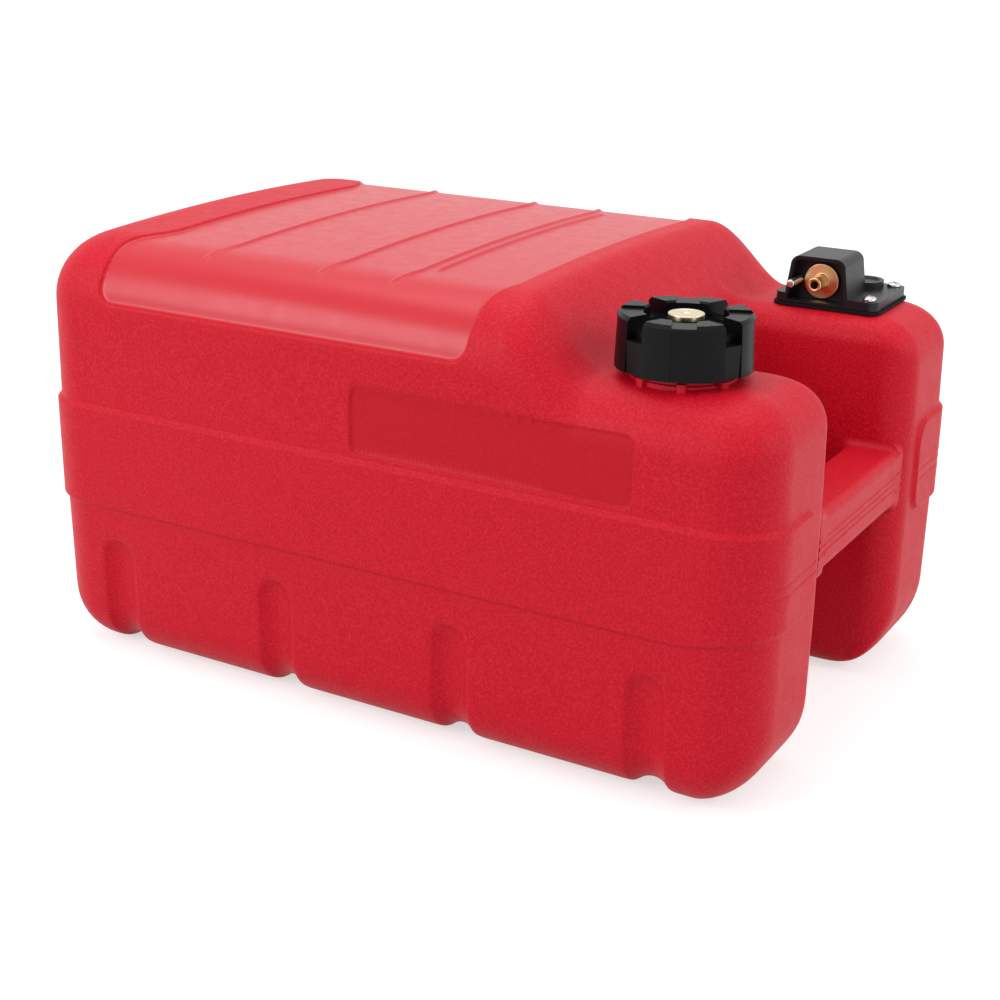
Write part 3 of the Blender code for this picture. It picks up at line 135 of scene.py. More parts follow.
def tank_ring(plan, kind, turn):
    """One level of the shell without its belt: kind is foot, wall or top, turn its angle or height."""
    x, y, nx, ny, fx, fy, slide = plan.T
    outside, root = np.isnan(slide), slide == 0
    share = deck_share(x)
    side = HUMP_SIDE_ROUND + (LOBE_SIDE_ROUND - HUMP_SIDE_ROUND) * share
    reach = rise = np.where(fx < 0, REAR_TOP_ROUND, FRONT_TOP_ROUND)
    if kind != "top":
        side = np.full_like(x, FOOT_ROUND)
        reach = np.where(fx < 0, REAR_FOOT[0], FRONT_FOOT[0])
        rise = np.where(fx < 0, REAR_FOOT[1], FRONT_FOOT[1])
    side = np.where(outside, side, NOTCH_ROUND)
    climb = np.where(root, NOTCH_ROUND, rise) * nx ** 2 + side * ny ** 2
    drop = climb * (1 - math.sin(turn)) if kind == "top" else 0
    pull = {"top": 1 - math.cos(turn), "foot": 1 - math.sin(turn), "wall": 0}[kind]
    height = {"top": top_height(x, y) - drop, "foot": climb * (1 - math.cos(turn)),
              "wall": np.full_like(x, turn)}[kind]
    slant = np.abs(height - (BELT_LOW + BELT_HIGH) / 2) * DRAFT
    in_x = slant + np.where(root, NOTCH_ROUND, reach) * pull + np.where(root, 0, BELT_PROUD)
    in_y = slant + side * pull + np.where(outside, BELT_PROUD, 0)
    place_x = x - in_x * np.where(outside | root, fx, slide)
    place_y = y - in_y * fy
    if kind == "top":
        height = top_height(place_x, place_y) - drop
    return np.stack([place_x, place_y, height], 1)


def spread(low, high, count):
    """Rings in straight steps between two rings, without the first."""
    return [low + (high - low) * k / count for k in range(1, count + 1)]


def tank_rings(plan):
    quarter = math.pi / 2
    rings = [tank_ring(plan, "foot", quarter * k / FOOT_LEVELS) for k in range(FOOT_LEVELS + 1)]
    for z, count in WALL_LEVELS:
        rings += spread(rings[-1], tank_ring(plan, "wall", z * MM), count)
    tops = [tank_ring(plan, "top", quarter * k / TOP_LEVELS) for k in range(TOP_LEVELS + 1)]
    return rings + spread(rings[-1], tops[0], UPPER_WALL_LEVELS) + tops[1:]


def fill_row(bm, one, two, steps, height):
    """Points from one to two, on the height that a function of x and y gives, or level between them."""
    row = [one]
    for k in range(1, steps):
        x, y, z = one.co.lerp(two.co, k / steps)
        row.append(bm.verts.new((x, y, height(x, y) if height else z)))
    return row + [two]


def join_rows(bm, rows):
    for one, two in zip(rows, rows[1:]):
        for k in range(len(one) - 1):
            bm.faces.new((one[k], one[k + 1], two[k + 1], two[k]))


def close_end(bm, line, height):
    """Fills the top or the bottom inside a ring: across the hump, then out along each lobe."""
    around = len(line)
    count = around // 2 + 1
    middle, side = ACROSS_MIDDLE, ACROSS_SIDE
    rear_arc = middle + side
    notch_row = rear_arc + CORNER_STEPS + sum(SIDE_STEPS[:2])
    front_arc = notch_row + sum(SIDE_STEPS[2:]) + CORNER_STEPS
    mouth = front_arc + side
    centres = {}
    for turn in (1, -1):
        rows = [[line[turn * k % around] for k in range(rear_arc, -1, -1)]]
        bay_y = line[turn * middle % around].co.y
        for i in range(rear_arc + 1, notch_row):
            edge = line[turn * i % around]
            x, _, z = edge.co
            bay = bm.verts.new((x, bay_y, height(x, bay_y) if height else z))
            if i not in centres:
                centres[i] = bm.verts.new((x, 0, height(x, 0) if height else z))
            rows.append(fill_row(bm, edge, bay, side, height)[:-1]
                        + fill_row(bm, bay, centres[i], middle, height))
        inner = [line[turn * k % around] for k in range(count - 1, mouth - 1, -1)]
        notch_end = line[turn * notch_row % around]
        rows.append(fill_row(bm, notch_end, inner[middle], side, height)[:-1] + inner[middle::-1])
        join_rows(bm, rows)
        lobe = [rows[-1][:side + 1]]
        for k in range(1, front_arc - notch_row):
            edge = line[turn * (notch_row + k) % around]
            lobe.append(fill_row(bm, edge, inner[middle + k], side, height))
        lobe.append([line[turn * k % around] for k in range(front_arc, mouth + 1)])
        join_rows(bm, lobe)


def build_shell_mesh():
    """The whole shell as quads about 3 mm wide, before its details are pressed in."""
    bm = bmesh.new()
    lines = []
    for ring in tank_rings(tank_plan()):
        near = [bm.verts.new(p) for p in ring]
        far = [bm.verts.new((x, -y, z)) for x, y, z in ring[1:-1]]
        lines.append(near + far[::-1])
    join_rows(bm, [line + line[:1] for line in lines])
    close_end(bm, lines[0], None)
    close_end(bm, lines[-1], top_height)
    bmesh.ops.remove_doubles(bm, verts=bm.verts, dist=WELD)
    bmesh.ops.recalc_face_normals(bm, faces=bm.faces)
    return bm


PANEL_X, PANEL_FOOT_Z, PANEL_CORNER, PANEL_DEPTH = (-176 * MM, 77.5 * MM), 231 * MM, 12 * MM, 2 * MM
PANEL_EASE, PANEL_ABOVE = 3 * MM, 200 * MM
BOW, BOW_YS = 7 * MM, (104 * MM, 138 * MM)
REAR_BOW, REAR_YS, REAR_XS = 11 * MM, (90 * MM, 130 * MM), (-115 * MM, -176 * MM)
RIB_HEIGHT, RIB_HALF_WIDTH, RIB_END = 1.4 * MM, 2.2 * MM, 8 * MM
RIBS = ((-119.5 * MM, 134 * MM), (-39 * MM, 134 * MM), (10.5 * MM, 134 * MM), (19.5 * MM, 106 * MM))
NAMEPLATE_X, NAMEPLATE_Z = (-6.5 * MM, 172 * MM), (168.5 * MM, 209 * MM)
NAMEPLATE_CORNER, NAMEPLATE_DEPTH, NAMEPLATE_EASE = 7 * MM, 1.5 * MM, 1 * MM
NAMEPLATE_SMOOTH_AND_SHADE, NAMEPLATE_FADE = 0.6, 1.2 * MM
FLUTE_XS = [184 * MM - 124 * MM * k for k in range(4)]
FLUTE_RADIUS, FLUTE_DEPTH, FLUTE_TOP, FLUTE_END_Y = 16 * MM, 5.5 * MM, 66 * MM, 100 * MM
FLUTE_EDGE = 1.2 * MM
GROOVE_ZS, GROOVE_DEPTH, GROOVE_HALF = (128.5 * MM, 134.5 * MM), 0.6 * MM, 1.3 * MM
GROOVE_FROM_X, GROOVE_EASE = 225 * MM, 12 * MM
FINE_BANDS, BELT_BAND, FAR_OFF = (4.5 * MM, 2.2 * MM), 0.8 * MM, 1.0


def bow(x, y):
    """How far the panel's cross lines swing back towards the sides, most of all at its rear edge."""
    swing, rear_swing = (ease((np.abs(y) - ys[0]) / (ys[1] - ys[0])) for ys in (BOW_YS, REAR_YS))
    return -BOW * swing - REAR_BOW * rear_swing * ease((x - REAR_XS[0]) / (REAR_XS[1] - REAR_XS[0]))


def frame_distance(u, v, u_span, v_span, corner):
    """Distance outside a rounded rectangle, negative within it."""
    qu = np.maximum(u_span[0] - u, u - u_span[1]) + corner
    qv = np.maximum(v_span[0] - v, v - v_span[1]) + corner
    return np.hypot(np.maximum(qu, 0), np.maximum(qv, 0)) + np.minimum(np.maximum(qu, qv), 0) - corner


def moulded_details(co):
    """(how far each point moves outwards, distance to the nearest detail's edge, share of smooth surface,
    where the red is painted darker as shade).
    """
    x, y, z = co.T
    end = np.where(x > 0.1, np.abs(y), FAR_OFF)
    low = BELT_LOW + BELT_LIFT * ease((x - BELT_LIFT_XS[0]) / (BELT_LIFT_XS[1] - BELT_LIFT_XS[0]))
    belt = frame_distance(end, z, (BELT_END_Y, 2 * FAR_OFF), (low, BELT_HIGH), BELT_END_CORNER)
    move = BELT_PROUD * np.clip(1 - belt / BELT_SLANT, 0, 1)
    edge = np.abs(belt - BELT_SLANT / 2) - BELT_BAND
    for groove_z in GROOVE_ZS:
        off = np.where((x > GROOVE_FROM_X) & (belt < 0), np.abs(z - groove_z), FAR_OFF)
        move -= GROOVE_DEPTH * ease(1 - off / GROOVE_HALF) * ease((x - GROOVE_FROM_X) / GROOVE_EASE)
        edge = np.minimum(edge, off)
    above, lying = z > PANEL_ABOVE, x - bow(x, y)
    panel = frame_distance(lying, z, PANEL_X, (PANEL_FOOT_Z, FAR_OFF), PANEL_CORNER)
    panel = np.where(above, panel, FAR_OFF)
    smooth = ease(-panel / PANEL_EASE)
    move -= PANEL_DEPTH * smooth
    edge = np.minimum(edge, np.abs(panel + PANEL_EASE / 2))
    for rib_x, rib_end in RIBS:
        off = np.abs(lying - rib_x)
        height = (1 - np.clip(off / RIB_HALF_WIDTH, 0, 1) ** 2) ** 2
        move += np.where(above, RIB_HEIGHT * height * ease((rib_end - np.abs(y)) / RIB_END), 0)
        edge = np.minimum(edge, np.where(above & (np.abs(y) < rib_end), off, FAR_OFF))
    plate = frame_distance(x, z, NAMEPLATE_X, NAMEPLATE_Z, NAMEPLATE_CORNER)
    plate = np.where(y < -0.1, plate, FAR_OFF)
    move -= NAMEPLATE_DEPTH * ease(-plate / NAMEPLATE_EASE)
    edge = np.minimum(edge, np.abs(plate + NAMEPLATE_FADE / 2))
    # The nameplate is smoother, and the red is painted darker there: painted shade for the pebbles' missing
    # glints.
    smooth = np.maximum(smooth, NAMEPLATE_SMOOTH_AND_SHADE * ease(-plate / NAMEPLATE_FADE))
    core = FLUTE_RADIUS - FLUTE_DEPTH
    for flute_x in FLUTE_XS:
        past = np.maximum(z - FLUTE_TOP, 0) + np.maximum(FLUTE_END_Y - np.abs(y), 0)
        inside = FLUTE_RADIUS ** 2 - (x - flute_x) ** 2 - past ** 2
        depth = np.sqrt(np.maximum(inside, 0)) - core
        rest = math.hypot(core, FLUTE_EDGE) - core
        move -= (depth + np.sqrt(depth ** 2 + FLUTE_EDGE ** 2) - rest) / 2
        edge = np.minimum(edge, np.abs(depth))
    return move, edge, smooth


def read_vectors(source, field):
    values = np.empty(len(source) * 3)
    source.foreach_get(field, values)
    return values.reshape(-1, 3)


def link_mesh(name, bm):
    mesh = bpy.data.meshes.new(name)
    bm.to_mesh(mesh)
    bm.free()
    item = bpy.data.objects.new(name, mesh)
    bpy.context.scene.collection.objects.link(item)
    return item


shell_bm = build_shell_mesh()
for band in FINE_BANDS:
    points = np.array([v.co for v in shell_bm.verts])
    close = moulded_details(points)[1] < band
    shell_bm.verts.index_update()
    near_edges = [e for e in shell_bm.edges if close[e.verts[0].index] and close[e.verts[1].index]]
    bmesh.ops.subdivide_edges(shell_bm, edges=near_edges, cuts=1, use_grid_fill=True)
bmesh.ops.poke(shell_bm, faces=[f for f in shell_bm.faces if len(f.verts) > 4])
tank = link_mesh("tank_moulding", shell_bm)
points = read_vectors(tank.data.vertices, "co")
normals = read_vectors(tank.data.vertex_normals, "vector")
move, _, smooth = moulded_details(points)
tank.data.vertices.foreach_set("co", (points + normals * move[:, None]).ravel())
tank.data.update()
tank.data.shade_smooth()
smooth_and_shade_attribute = tank.data.attributes.new("smoothness_and_painted_shade", "FLOAT", "POINT")
smooth_and_shade_attribute.data.foreach_set("value", smooth.astype(np.float32))
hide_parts("tank_shell")
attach(tank, "tank")


def linear(hex_colour):
    """sRGB hex to linear RGBA."""
    parts = [int(hex_colour[k:k + 2], 16) / 255 for k in (0, 2, 4)]
    return (*[c / 12.92 if c <= 0.04045 else ((c + 0.055) / 1.055) ** 2.4 for c in parts], 1.0)


def add_node(tree, kind, settings=None, links=None):
    """Adds one node, sets its properties or inputs, and links other sockets into it."""
    node = tree.nodes.new("ShaderNode" + kind)
    for key, value in (settings or {}).items():
        if isinstance(key, str) and hasattr(node, key):
            setattr(node, key, value)
        else:
            node.inputs[key].default_value = value
    for key, socket in (links or {}).items():
        tree.links.new(socket, node.inputs[key])
    return node


# High-density polyethylene, blown against a sand-blasted mould: a matt red with soft pebbles about
# 1.3 mm across. The mould was polished at the panel, so that is glossier and only ripples faintly.
# The red follows each pebble's height, with painted shade in the hollows and a painted highlight on
# the tips, and smooth places are painted darker as shade for the glints that they lack.
RED, RED_HOLLOW_SHADE, RED_TIP_HIGHLIGHT = "C80B24", "BC061C", "D61B33"
PEBBLE, RIPPLE, PEBBLE_DEPTH, PANEL_TEXTURE, PANEL_FROM = 1.3 * MM, 9 * MM, 0.16 * MM, 0.12, 0.65


def red_polyethylene(name, roughness, level, texture=1.0, fades=False):
    mat = bpy.data.materials.new(name)
    mat.use_nodes = True
    tree = mat.node_tree
    shader = tree.nodes["Principled BSDF"]
    shader.inputs["Specular IOR Level"].default_value = level
    place = {"Vector": add_node(tree, "TexCoord").outputs["Object"]}
    pebbles = add_node(tree, "TexNoise", {"Scale": 1 / PEBBLE, "Detail": 2.0, "Roughness": 0.5}, place)
    ripple = add_node(tree, "TexNoise", {"Scale": 1 / RIPPLE, "Detail": 3.0, "Roughness": 0.6}, place)
    grain = add_node(tree, "MapRange", {1: 0.3, 2: 0.7, 3: -0.5 * texture, 4: 0.5 * texture},
                     {0: pebbles.outputs[0]})
    if fades:
        smooth_and_shaded_places = add_node(tree, "Attribute", {"attribute_name": "smoothness_and_painted_shade"}).outputs["Fac"]
        textured = add_node(tree, "MapRange", {3: 1.0, 4: PANEL_TEXTURE}, {0: smooth_and_shaded_places})
        grain = add_node(tree, "Math", {"operation": "MULTIPLY"},
                         {0: grain.outputs[0], 1: textured.outputs[0]})
    gloss = add_node(tree, "MapRange", {1: 0.3, 2: 0.7, 3: roughness - 0.04, 4: roughness + 0.04},
                     {0: ripple.outputs[0]})
    tree.links.new(gloss.outputs[0], shader.inputs["Roughness"])
    share = add_node(tree, "Math", {"operation": "ADD", 1: 0.5}, {0: grain.outputs[0]})
    # Smooth places are painted darker: painted shade that stands in for the pebbles' missing glints.
    if fades:
        share = add_node(tree, "Math", {"operation": "MULTIPLY_ADD", 1: -0.6},
                         {0: smooth_and_shaded_places, 2: share.outputs[0]})
    # Colour ramp from painted shade in the pebbles' hollows to a painted highlight on their tips.
    tint = add_node(tree, "ValToRGB", {}, {"Fac": share.outputs[0]})
    tint.color_ramp.elements[0].color = linear(RED_HOLLOW_SHADE)
    tint.color_ramp.elements[1].color = linear(RED_TIP_HIGHLIGHT)
    tint.color_ramp.elements.new(0.5).color = linear(RED)
    tree.links.new(tint.outputs[0], shader.inputs["Base Color"])
    wave = add_node(tree, "Math", {"operation": "MULTIPLY_ADD", 1: 0.4},
                    {0: ripple.outputs[0], 2: grain.outputs[0]})
    bump = add_node(tree, "Bump", {"Strength": 0.5, "Distance": PEBBLE_DEPTH}, {"Height": wave.outputs[0]})
    tree.links.new(bump.outputs[0], shader.inputs["Normal"])
    return mat


tank.data.materials.append(red_polyethylene("sand_textured_polyethylene", 0.5, 0.2, fades=True))
tank.data.materials.append(red_polyethylene("polished_panel_polyethylene", 0.33, 0.5, PANEL_TEXTURE))
corner_share = np.array([smooth[list(face.vertices)].mean() for face in tank.data.polygons])
tank.data.polygons.foreach_set("material_index", (corner_share > PANEL_FROM).astype(np.int32))


# Handle bar. Part of the same moulding: a hollow grip across the notch that flares into both lobes,
# with shallow ridges along its front face.
BAR_FRONT, BAR_BACK = 244.5 * MM, 210.5 * MM
BAR_LOW, BAR_HIGH, BAR_CORNER, BAR_FLARE, BAR_SINK = 116.8 * MM, 152.8 * MM, 6 * MM, 4.5 * MM, 8 * MM
BAR_FACE_STEPS, BAR_FLARE_STEPS = 60, 14
RIDGE_OFFSETS, RIDGE_PROUD, RIDGE_WIDTH = (-5.5 * MM, -1.5 * MM, 2.5 * MM), 0.7 * MM, 1.3 * MM


def rounded_box_outline(low, high, corner, steps):
    points = []
    turns = ((high[0] - corner, high[1] - corner, 0), (low[0] + corner, high[1] - corner, 90),
             (low[0] + corner, low[1] + corner, 180), (high[0] - corner, low[1] + corner, 270))
    for u, v, start in turns:
        for k in range(steps + 1):
            a = math.radians(start + 90 * k / steps)
            points.append((u + corner * math.cos(a), v + corner * math.sin(a)))
    return points


def loft(name, rings):
    """Closes a row of equal rings into one piece."""
    bm = bmesh.new()
    rings = [[bm.verts.new(p) for p in ring] for ring in rings]
    for one, two in zip(rings, rings[1:]):
        for k in range(len(one)):
            after = (k + 1) % len(one)
            bm.faces.new((one[k], one[after], two[after], two[k]))
    bm.faces.new(rings[0])
    bm.faces.new(rings[-1])
    bmesh.ops.recalc_face_normals(bm, faces=bm.faces)
    return link_mesh(name, bm)


def shade(item, sharp=40):
    item.data.shade_smooth()
    item.data.set_sharp_from_angle(angle=math.radians(sharp))
    return item


def bar_ring(y):
    near = max(abs(y) - NOTCH_HALF + BAR_FLARE, 0)
    flare = BAR_FLARE - math.sqrt(max(BAR_FLARE ** 2 - min(near, BAR_FLARE) ** 2, 0))
    middle, half = (BAR_LOW + BAR_HIGH) / 2, (BAR_HIGH - BAR_LOW) / 2
    ring = []
    outline = rounded_box_outline((BAR_BACK, BAR_LOW), (BAR_FRONT, BAR_HIGH), BAR_CORNER, 10)
    flat = half - BAR_CORNER
    face = [(BAR_FRONT, middle - flat + 2 * flat * k / BAR_FACE_STEPS) for k in range(1, BAR_FACE_STEPS)]
    for x, z in outline + face:
        if x > BAR_FRONT - 0.01 * MM:
            off = min(abs(z - middle - ridge) for ridge in RIDGE_OFFSETS)
            x += RIDGE_PROUD * float(ease(1 - off / RIDGE_WIDTH))
        back = max((BAR_FRONT - x) / (BAR_FRONT - BAR_BACK), 0)
        wall = abs(z - (BELT_LOW + BELT_HIGH) / 2) * DRAFT * flare / BAR_FLARE
        ring.append((x - flare * back, y + math.copysign(wall, y), z + flare * (z - middle) / half))
    return ring


bar_ys = [-NOTCH_HALF - BAR_SINK]
bar_ys += [-NOTCH_HALF + BAR_FLARE * (1 - math.cos(math.pi / 2 * k / BAR_FLARE_STEPS))
           for k in range(BAR_FLARE_STEPS + 1)]
bar = shade(loft("handle_bar", [bar_ring(y) for y in bar_ys + [-y for y in reversed(bar_ys)]]), 60)
bar.data.materials.append(red_polyethylene("textured_bar_polyethylene", 0.5, 0.25, texture=0.7))
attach(bar, "tank")


# Filler neck. The moulding's threaded spout, with a flange and eight stop lugs round its foot.
# The cap hides it until it is screwed up.
NECK, NECK_R, NECK_BORE, NECK_TOP = (173.8 * MM, -103.5 * MM), 27.5 * MM, 22.5 * MM, 249.7 * MM
FLANGE_R, NECK_SINK = 29 * MM, 6 * MM
THREAD_PITCH, THREAD_PROUD, THREAD_WIDTH, THREAD_FROM, THREAD_TO = 5 * MM, 1.4 * MM, 3 * MM, 8 * MM, 2 * MM
LUGS, LUG_REACH, LUG_WIDTH, LUG_HIGH, FLANGE_HIGH = 8, 32 * MM, 5 * MM, 3.2 * MM, 1.5 * MM


def lathe(name, profile, centre, steps=96, axis="Z"):
    """Turns a closed outline of (radius, height) points round an axis through centre."""
    bm = bmesh.new()
    rings = []
    for radius, height in profile:
        if radius == 0:
            rings.append([bm.verts.new((0, 0, height))])
        else:
            angles = [2 * math.pi * k / steps for k in range(steps)]
            rings.append([bm.verts.new((radius * math.cos(a), radius * math.sin(a), height)) for a in angles])
    for one, two in zip(rings, rings[1:] + rings[:1]):
        for k in range(steps):
            after = (k + 1) % steps
            corners = dict.fromkeys([one[k % len(one)], one[after % len(one)],
                                     two[after % len(two)], two[k % len(two)]])
            if len(corners) > 2:
                bm.faces.new(list(corners))
    if axis == "Y":
        bmesh.ops.rotate(bm, matrix=Matrix.Rotation(-math.pi / 2, 3, "X"), verts=bm.verts)
    bmesh.ops.translate(bm, vec=centre, verts=bm.verts)
    bmesh.ops.recalc_face_normals(bm, faces=bm.faces)
    return shade(link_mesh(name, bm))


def round_corners(profile, radius, steps=4):
    """Rounds every corner of a closed (radius, height) outline, apart from corners on the axis."""
    result = []
    count = len(profile)
    for k, point in enumerate(profile):
        here = Vector(point)
        before, after = Vector(profile[k - 1]) - here, Vector(profile[(k + 1) % count]) - here
        reach = min(radius, before.length * 0.45, after.length * 0.45)
        if point[0] == 0 or reach < 0.02 * MM:
            result.append(point)
            continue
        one, two = here + before.normalized() * reach, here + after.normalized() * reach
        for j in range(steps + 1):
            t = j / steps
            result.append(tuple(one * (1 - t) ** 2 + here * 2 * t * (1 - t) + two * t ** 2))
    return result


def thread(name, centre, radius, proud, low, high, pitch, width, inward=False, steps=72):
    """A helical ridge that fades in and out at its ends."""
    turns = (high - low) / pitch
    total = int(turns * steps)
    rings = []
    sign = -1 if inward else 1
    for k in range(total + 1):
        a = 2 * math.pi * k / steps
        z = low + pitch * k / steps
        grow = min(1, k / 12, (total - k) / 12) * 0.98 + 0.02
        ring = []
        for out, up in ((-0.4, -0.5), (0.6, -0.34), (1, -0.16), (1, 0.16), (0.6, 0.34), (-0.4, 0.5)):
            r = radius + sign * proud * (out * grow if out > 0 else out)
            point = (r * math.cos(a), r * math.sin(a), z + up * width)
            ring.append((centre[0] + point[0], centre[1] + point[1], point[2]))
        rings.append(ring)
    return shade(loft(name, rings), 50)


foot, flange_top = DECK_TOP - NECK_SINK, DECK_TOP + FLANGE_HIGH
neck_profile = [(NECK_BORE, foot), (FLANGE_R, foot), (FLANGE_R, flange_top), (NECK_R, flange_top),
                (NECK_R, NECK_TOP), (NECK_BORE, NECK_TOP)]
neck = lathe("filler_neck", round_corners(neck_profile, 0.8 * MM), (*NECK, 0))
neck_thread = thread("neck_thread", NECK, NECK_R, THREAD_PROUD, DECK_TOP + THREAD_FROM, NECK_TOP - THREAD_TO,
                     THREAD_PITCH, THREAD_WIDTH)
neck_pieces = [neck, neck_thread]
for k in range(LUGS):
    outline = rounded_box_outline((FLANGE_R - 2 * MM, -LUG_WIDTH / 2), (LUG_REACH, LUG_WIDTH / 2), 1 * MM, 4)
    turned = [Matrix.Rotation(2 * math.pi * (k + 0.5) / LUGS, 2) @ Vector(p) for p in outline]
    lug = shade(loft("stop_lug_%d" % (k + 1), [[(NECK[0] + u, NECK[1] + v, z) for u, v in turned]
                     for z in (foot, DECK_TOP + LUG_HIGH)]))
    neck_pieces.append(lug)
neck_red = red_polyethylene("neck_polyethylene", 0.45, 0.25, texture=0.5)
for piece in neck_pieces:
    piece.data.materials.append(neck_red)
    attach(piece, "tank")


# Pickup. A milky tube pushed on the fitting's barb hangs to the floor of the far lobe, and a black
# strainer with a woven steel screen sits on its end. All of it is inside the closed shell.
def plain_material(name, hex_colour, roughness, metallic=0.0, grain=0.5 * MM, depth=0.02 * MM, change=0.08,
                   level=0.5):
    """One finish with fine grain in its colour, gloss and surface."""
    mat = bpy.data.materials.new(name)
    mat.use_nodes = True
    tree = mat.node_tree
    shader = tree.nodes["Principled BSDF"]
    shader.inputs["Metallic"].default_value = metallic
    shader.inputs["Specular IOR Level"].default_value = level
    place = add_node(tree, "TexCoord").outputs["Object"]
    noise = add_node(tree, "TexNoise", {"Scale": 0.8 / grain, "Detail": 3.0}, {"Vector": place})
    gloss = add_node(tree, "MapRange", {1: 0.3, 2: 0.7, 3: roughness * 0.85, 4: roughness * 1.15},
                     {0: noise.outputs[0]})
    tree.links.new(gloss.outputs[0], shader.inputs["Roughness"])
    tint = add_node(tree, "ValToRGB", {}, {"Fac": noise.outputs[0]})
    base = linear(hex_colour)
    for element, share in zip(tint.color_ramp.elements, (1 - change, 1 + change)):
        element.color = (*[min(c * share, 1) for c in base[:3]], 1)
    tree.links.new(tint.outputs[0], shader.inputs["Base Color"])
    bump = add_node(tree, "Bump", {"Strength": 0.5, "Distance": depth}, {"Height": noise.outputs[0]})
    tree.links.new(bump.outputs[0], shader.inputs["Normal"])
    return mat


def give(node, mat):
    """A CAD piece that stays as it is gets this material."""
    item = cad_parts[node]
    item.data.materials.clear()
    item.data.materials.append(mat)


give("pickup_tube", plain_material("milky_polyethylene_tube", "D9D6CC", 0.4))
give("strainer_body", plain_material("black_nylon", "29292B", 0.45))
give("strainer_mesh", plain_material("woven_steel_screen", "B8BABD", 0.4, 1.0, 0.6 * MM, 0.2 * MM, 0.4))


# Fitting gasket and inserts. A sheet of black nitrile rubber under the fitting's plate, and three
# knurled brass inserts in the deck that the plate's screws go into.
rubber = plain_material("black_nitrile_rubber", "111012", 0.75, grain=0.8 * MM, depth=0.04 * MM, level=0.2)
insert_brass = plain_material("turned_brass_insert", "C9AA74", 0.35, 1.0)
give("fitting_gasket", rubber)
give("outlet_seal", rubber)
for k in (1, 2, 3):
    give("screw_insert_%d" % k, insert_brass)


# Fitting housing. Black acetal moulding: plate, open-fronted hood over the hose nipple, a round blank
# boss with a dish behind it. Three pan-head screws hold it, the hood covers the fourth corner.
PLATE_MID, PLATE_HALF, PLATE_CORNER = (185.4 * MM, 105 * MM), (32.75 * MM, 29 * MM), 6 * MM
PLATE_LOW, PLATE_HIGH = 232.3 * MM, 237.9 * MM
HOOD_X, HOOD_FRONT, HOOD_LONG, HOOD_TOP = 179.4 * MM, 77 * MM, 33 * MM, 261.5 * MM
HOOD_FOOT_HALF, HOOD_TOP_HALF, HOOD_CORNER, HOOD_WALL = 20.5 * MM, 17.5 * MM, 6 * MM, 2.2 * MM
MOUTH_BACK, MOUTH_SILL, OUTLET_Z, PIN_X = 87.5 * MM, 1.5 * MM, 245.3 * MM, 165.6 * MM
BOSS, BOSS_R, BOSS_HIGH, DISH_R, DISH_DEEP = (195.9 * MM, 120.5 * MM), 11 * MM, 4.2 * MM, 8.8 * MM, 1.2 * MM
TAIL_Y, SPIGOT_R, SPIGOT_LOW, TAIL_R, TAIL_LOW = 106 * MM, 11.5 * MM, 219.5 * MM, 4.4 * MM, 205.5 * MM
FLANGE_HOLE_R, SHANK_HOLE_R, SHANK_HOLE_LONG = 11.6 * MM, 6.3 * MM, 10.3 * MM
PASSAGE_R, PIN_HOLE_R, PIN_HOLE_LONG, OVERLAP = 2.6 * MM, 2.7 * MM, 8.5 * MM, 2 * MM


def combine(item, tool, operation):
    step = item.modifiers.new("step", "BOOLEAN")
    step.operation, step.solver, step.object = operation, "EXACT", tool
    mesh = bpy.data.meshes.new_from_object(item.evaluated_get(bpy.context.evaluated_depsgraph_get()))
    item.modifiers.clear()
    item.data = mesh
    bpy.data.objects.remove(tool, do_unlink=True)


def soften(item, width, steps=3, angle=30):
    """Rounds an item's sharp edges."""
    edge = item.modifiers.new("soft_edges", "BEVEL")
    edge.width, edge.segments, edge.limit_method = width, steps, "ANGLE"
    edge.angle_limit = math.radians(angle)
    edge.use_clamp_overlap = True
    item.data.shade_smooth()
    item.modifiers.new("even_shading", "WEIGHTED_NORMAL").keep_sharp = True
    mesh = bpy.data.meshes.new_from_object(item.evaluated_get(bpy.context.evaluated_depsgraph_get()))
    item.modifiers.clear()
    item.data = mesh
    return item


def flat_prism(name, outline, low, high, plane="XY"):
    """Extrudes an outline along Z, or along Y for one drawn on XZ."""
    if plane == "XY":
        return loft(name, [[(u, v, z) for u, v in outline] for z in (low, high)])
    return loft(name, [[(u, y, v) for u, v in outline] for y in (low, high)])


def hood_front_view(inset, foot_z):
    top, corner, high = HOOD_TOP_HALF - inset, HOOD_CORNER - inset, HOOD_TOP - inset
    points = [(HOOD_X + HOOD_FOOT_HALF - inset, foot_z)]
    for side, start in ((1, 0), (-1, 90)):
        for k in range(11):
            a = math.radians(start + 9 * k)
            points.append((HOOD_X + side * (top - corner) + corner * math.cos(a),
                           high - corner + corner * math.sin(a)))
    return points + [(HOOD_X - HOOD_FOOT_HALF + inset, foot_z)]


def rod(name, radius, low, high, centre, steps, axis="Z"):
    return lathe(name, [(0, low), (radius, low), (radius, high), (0, high)], centre, steps, axis)


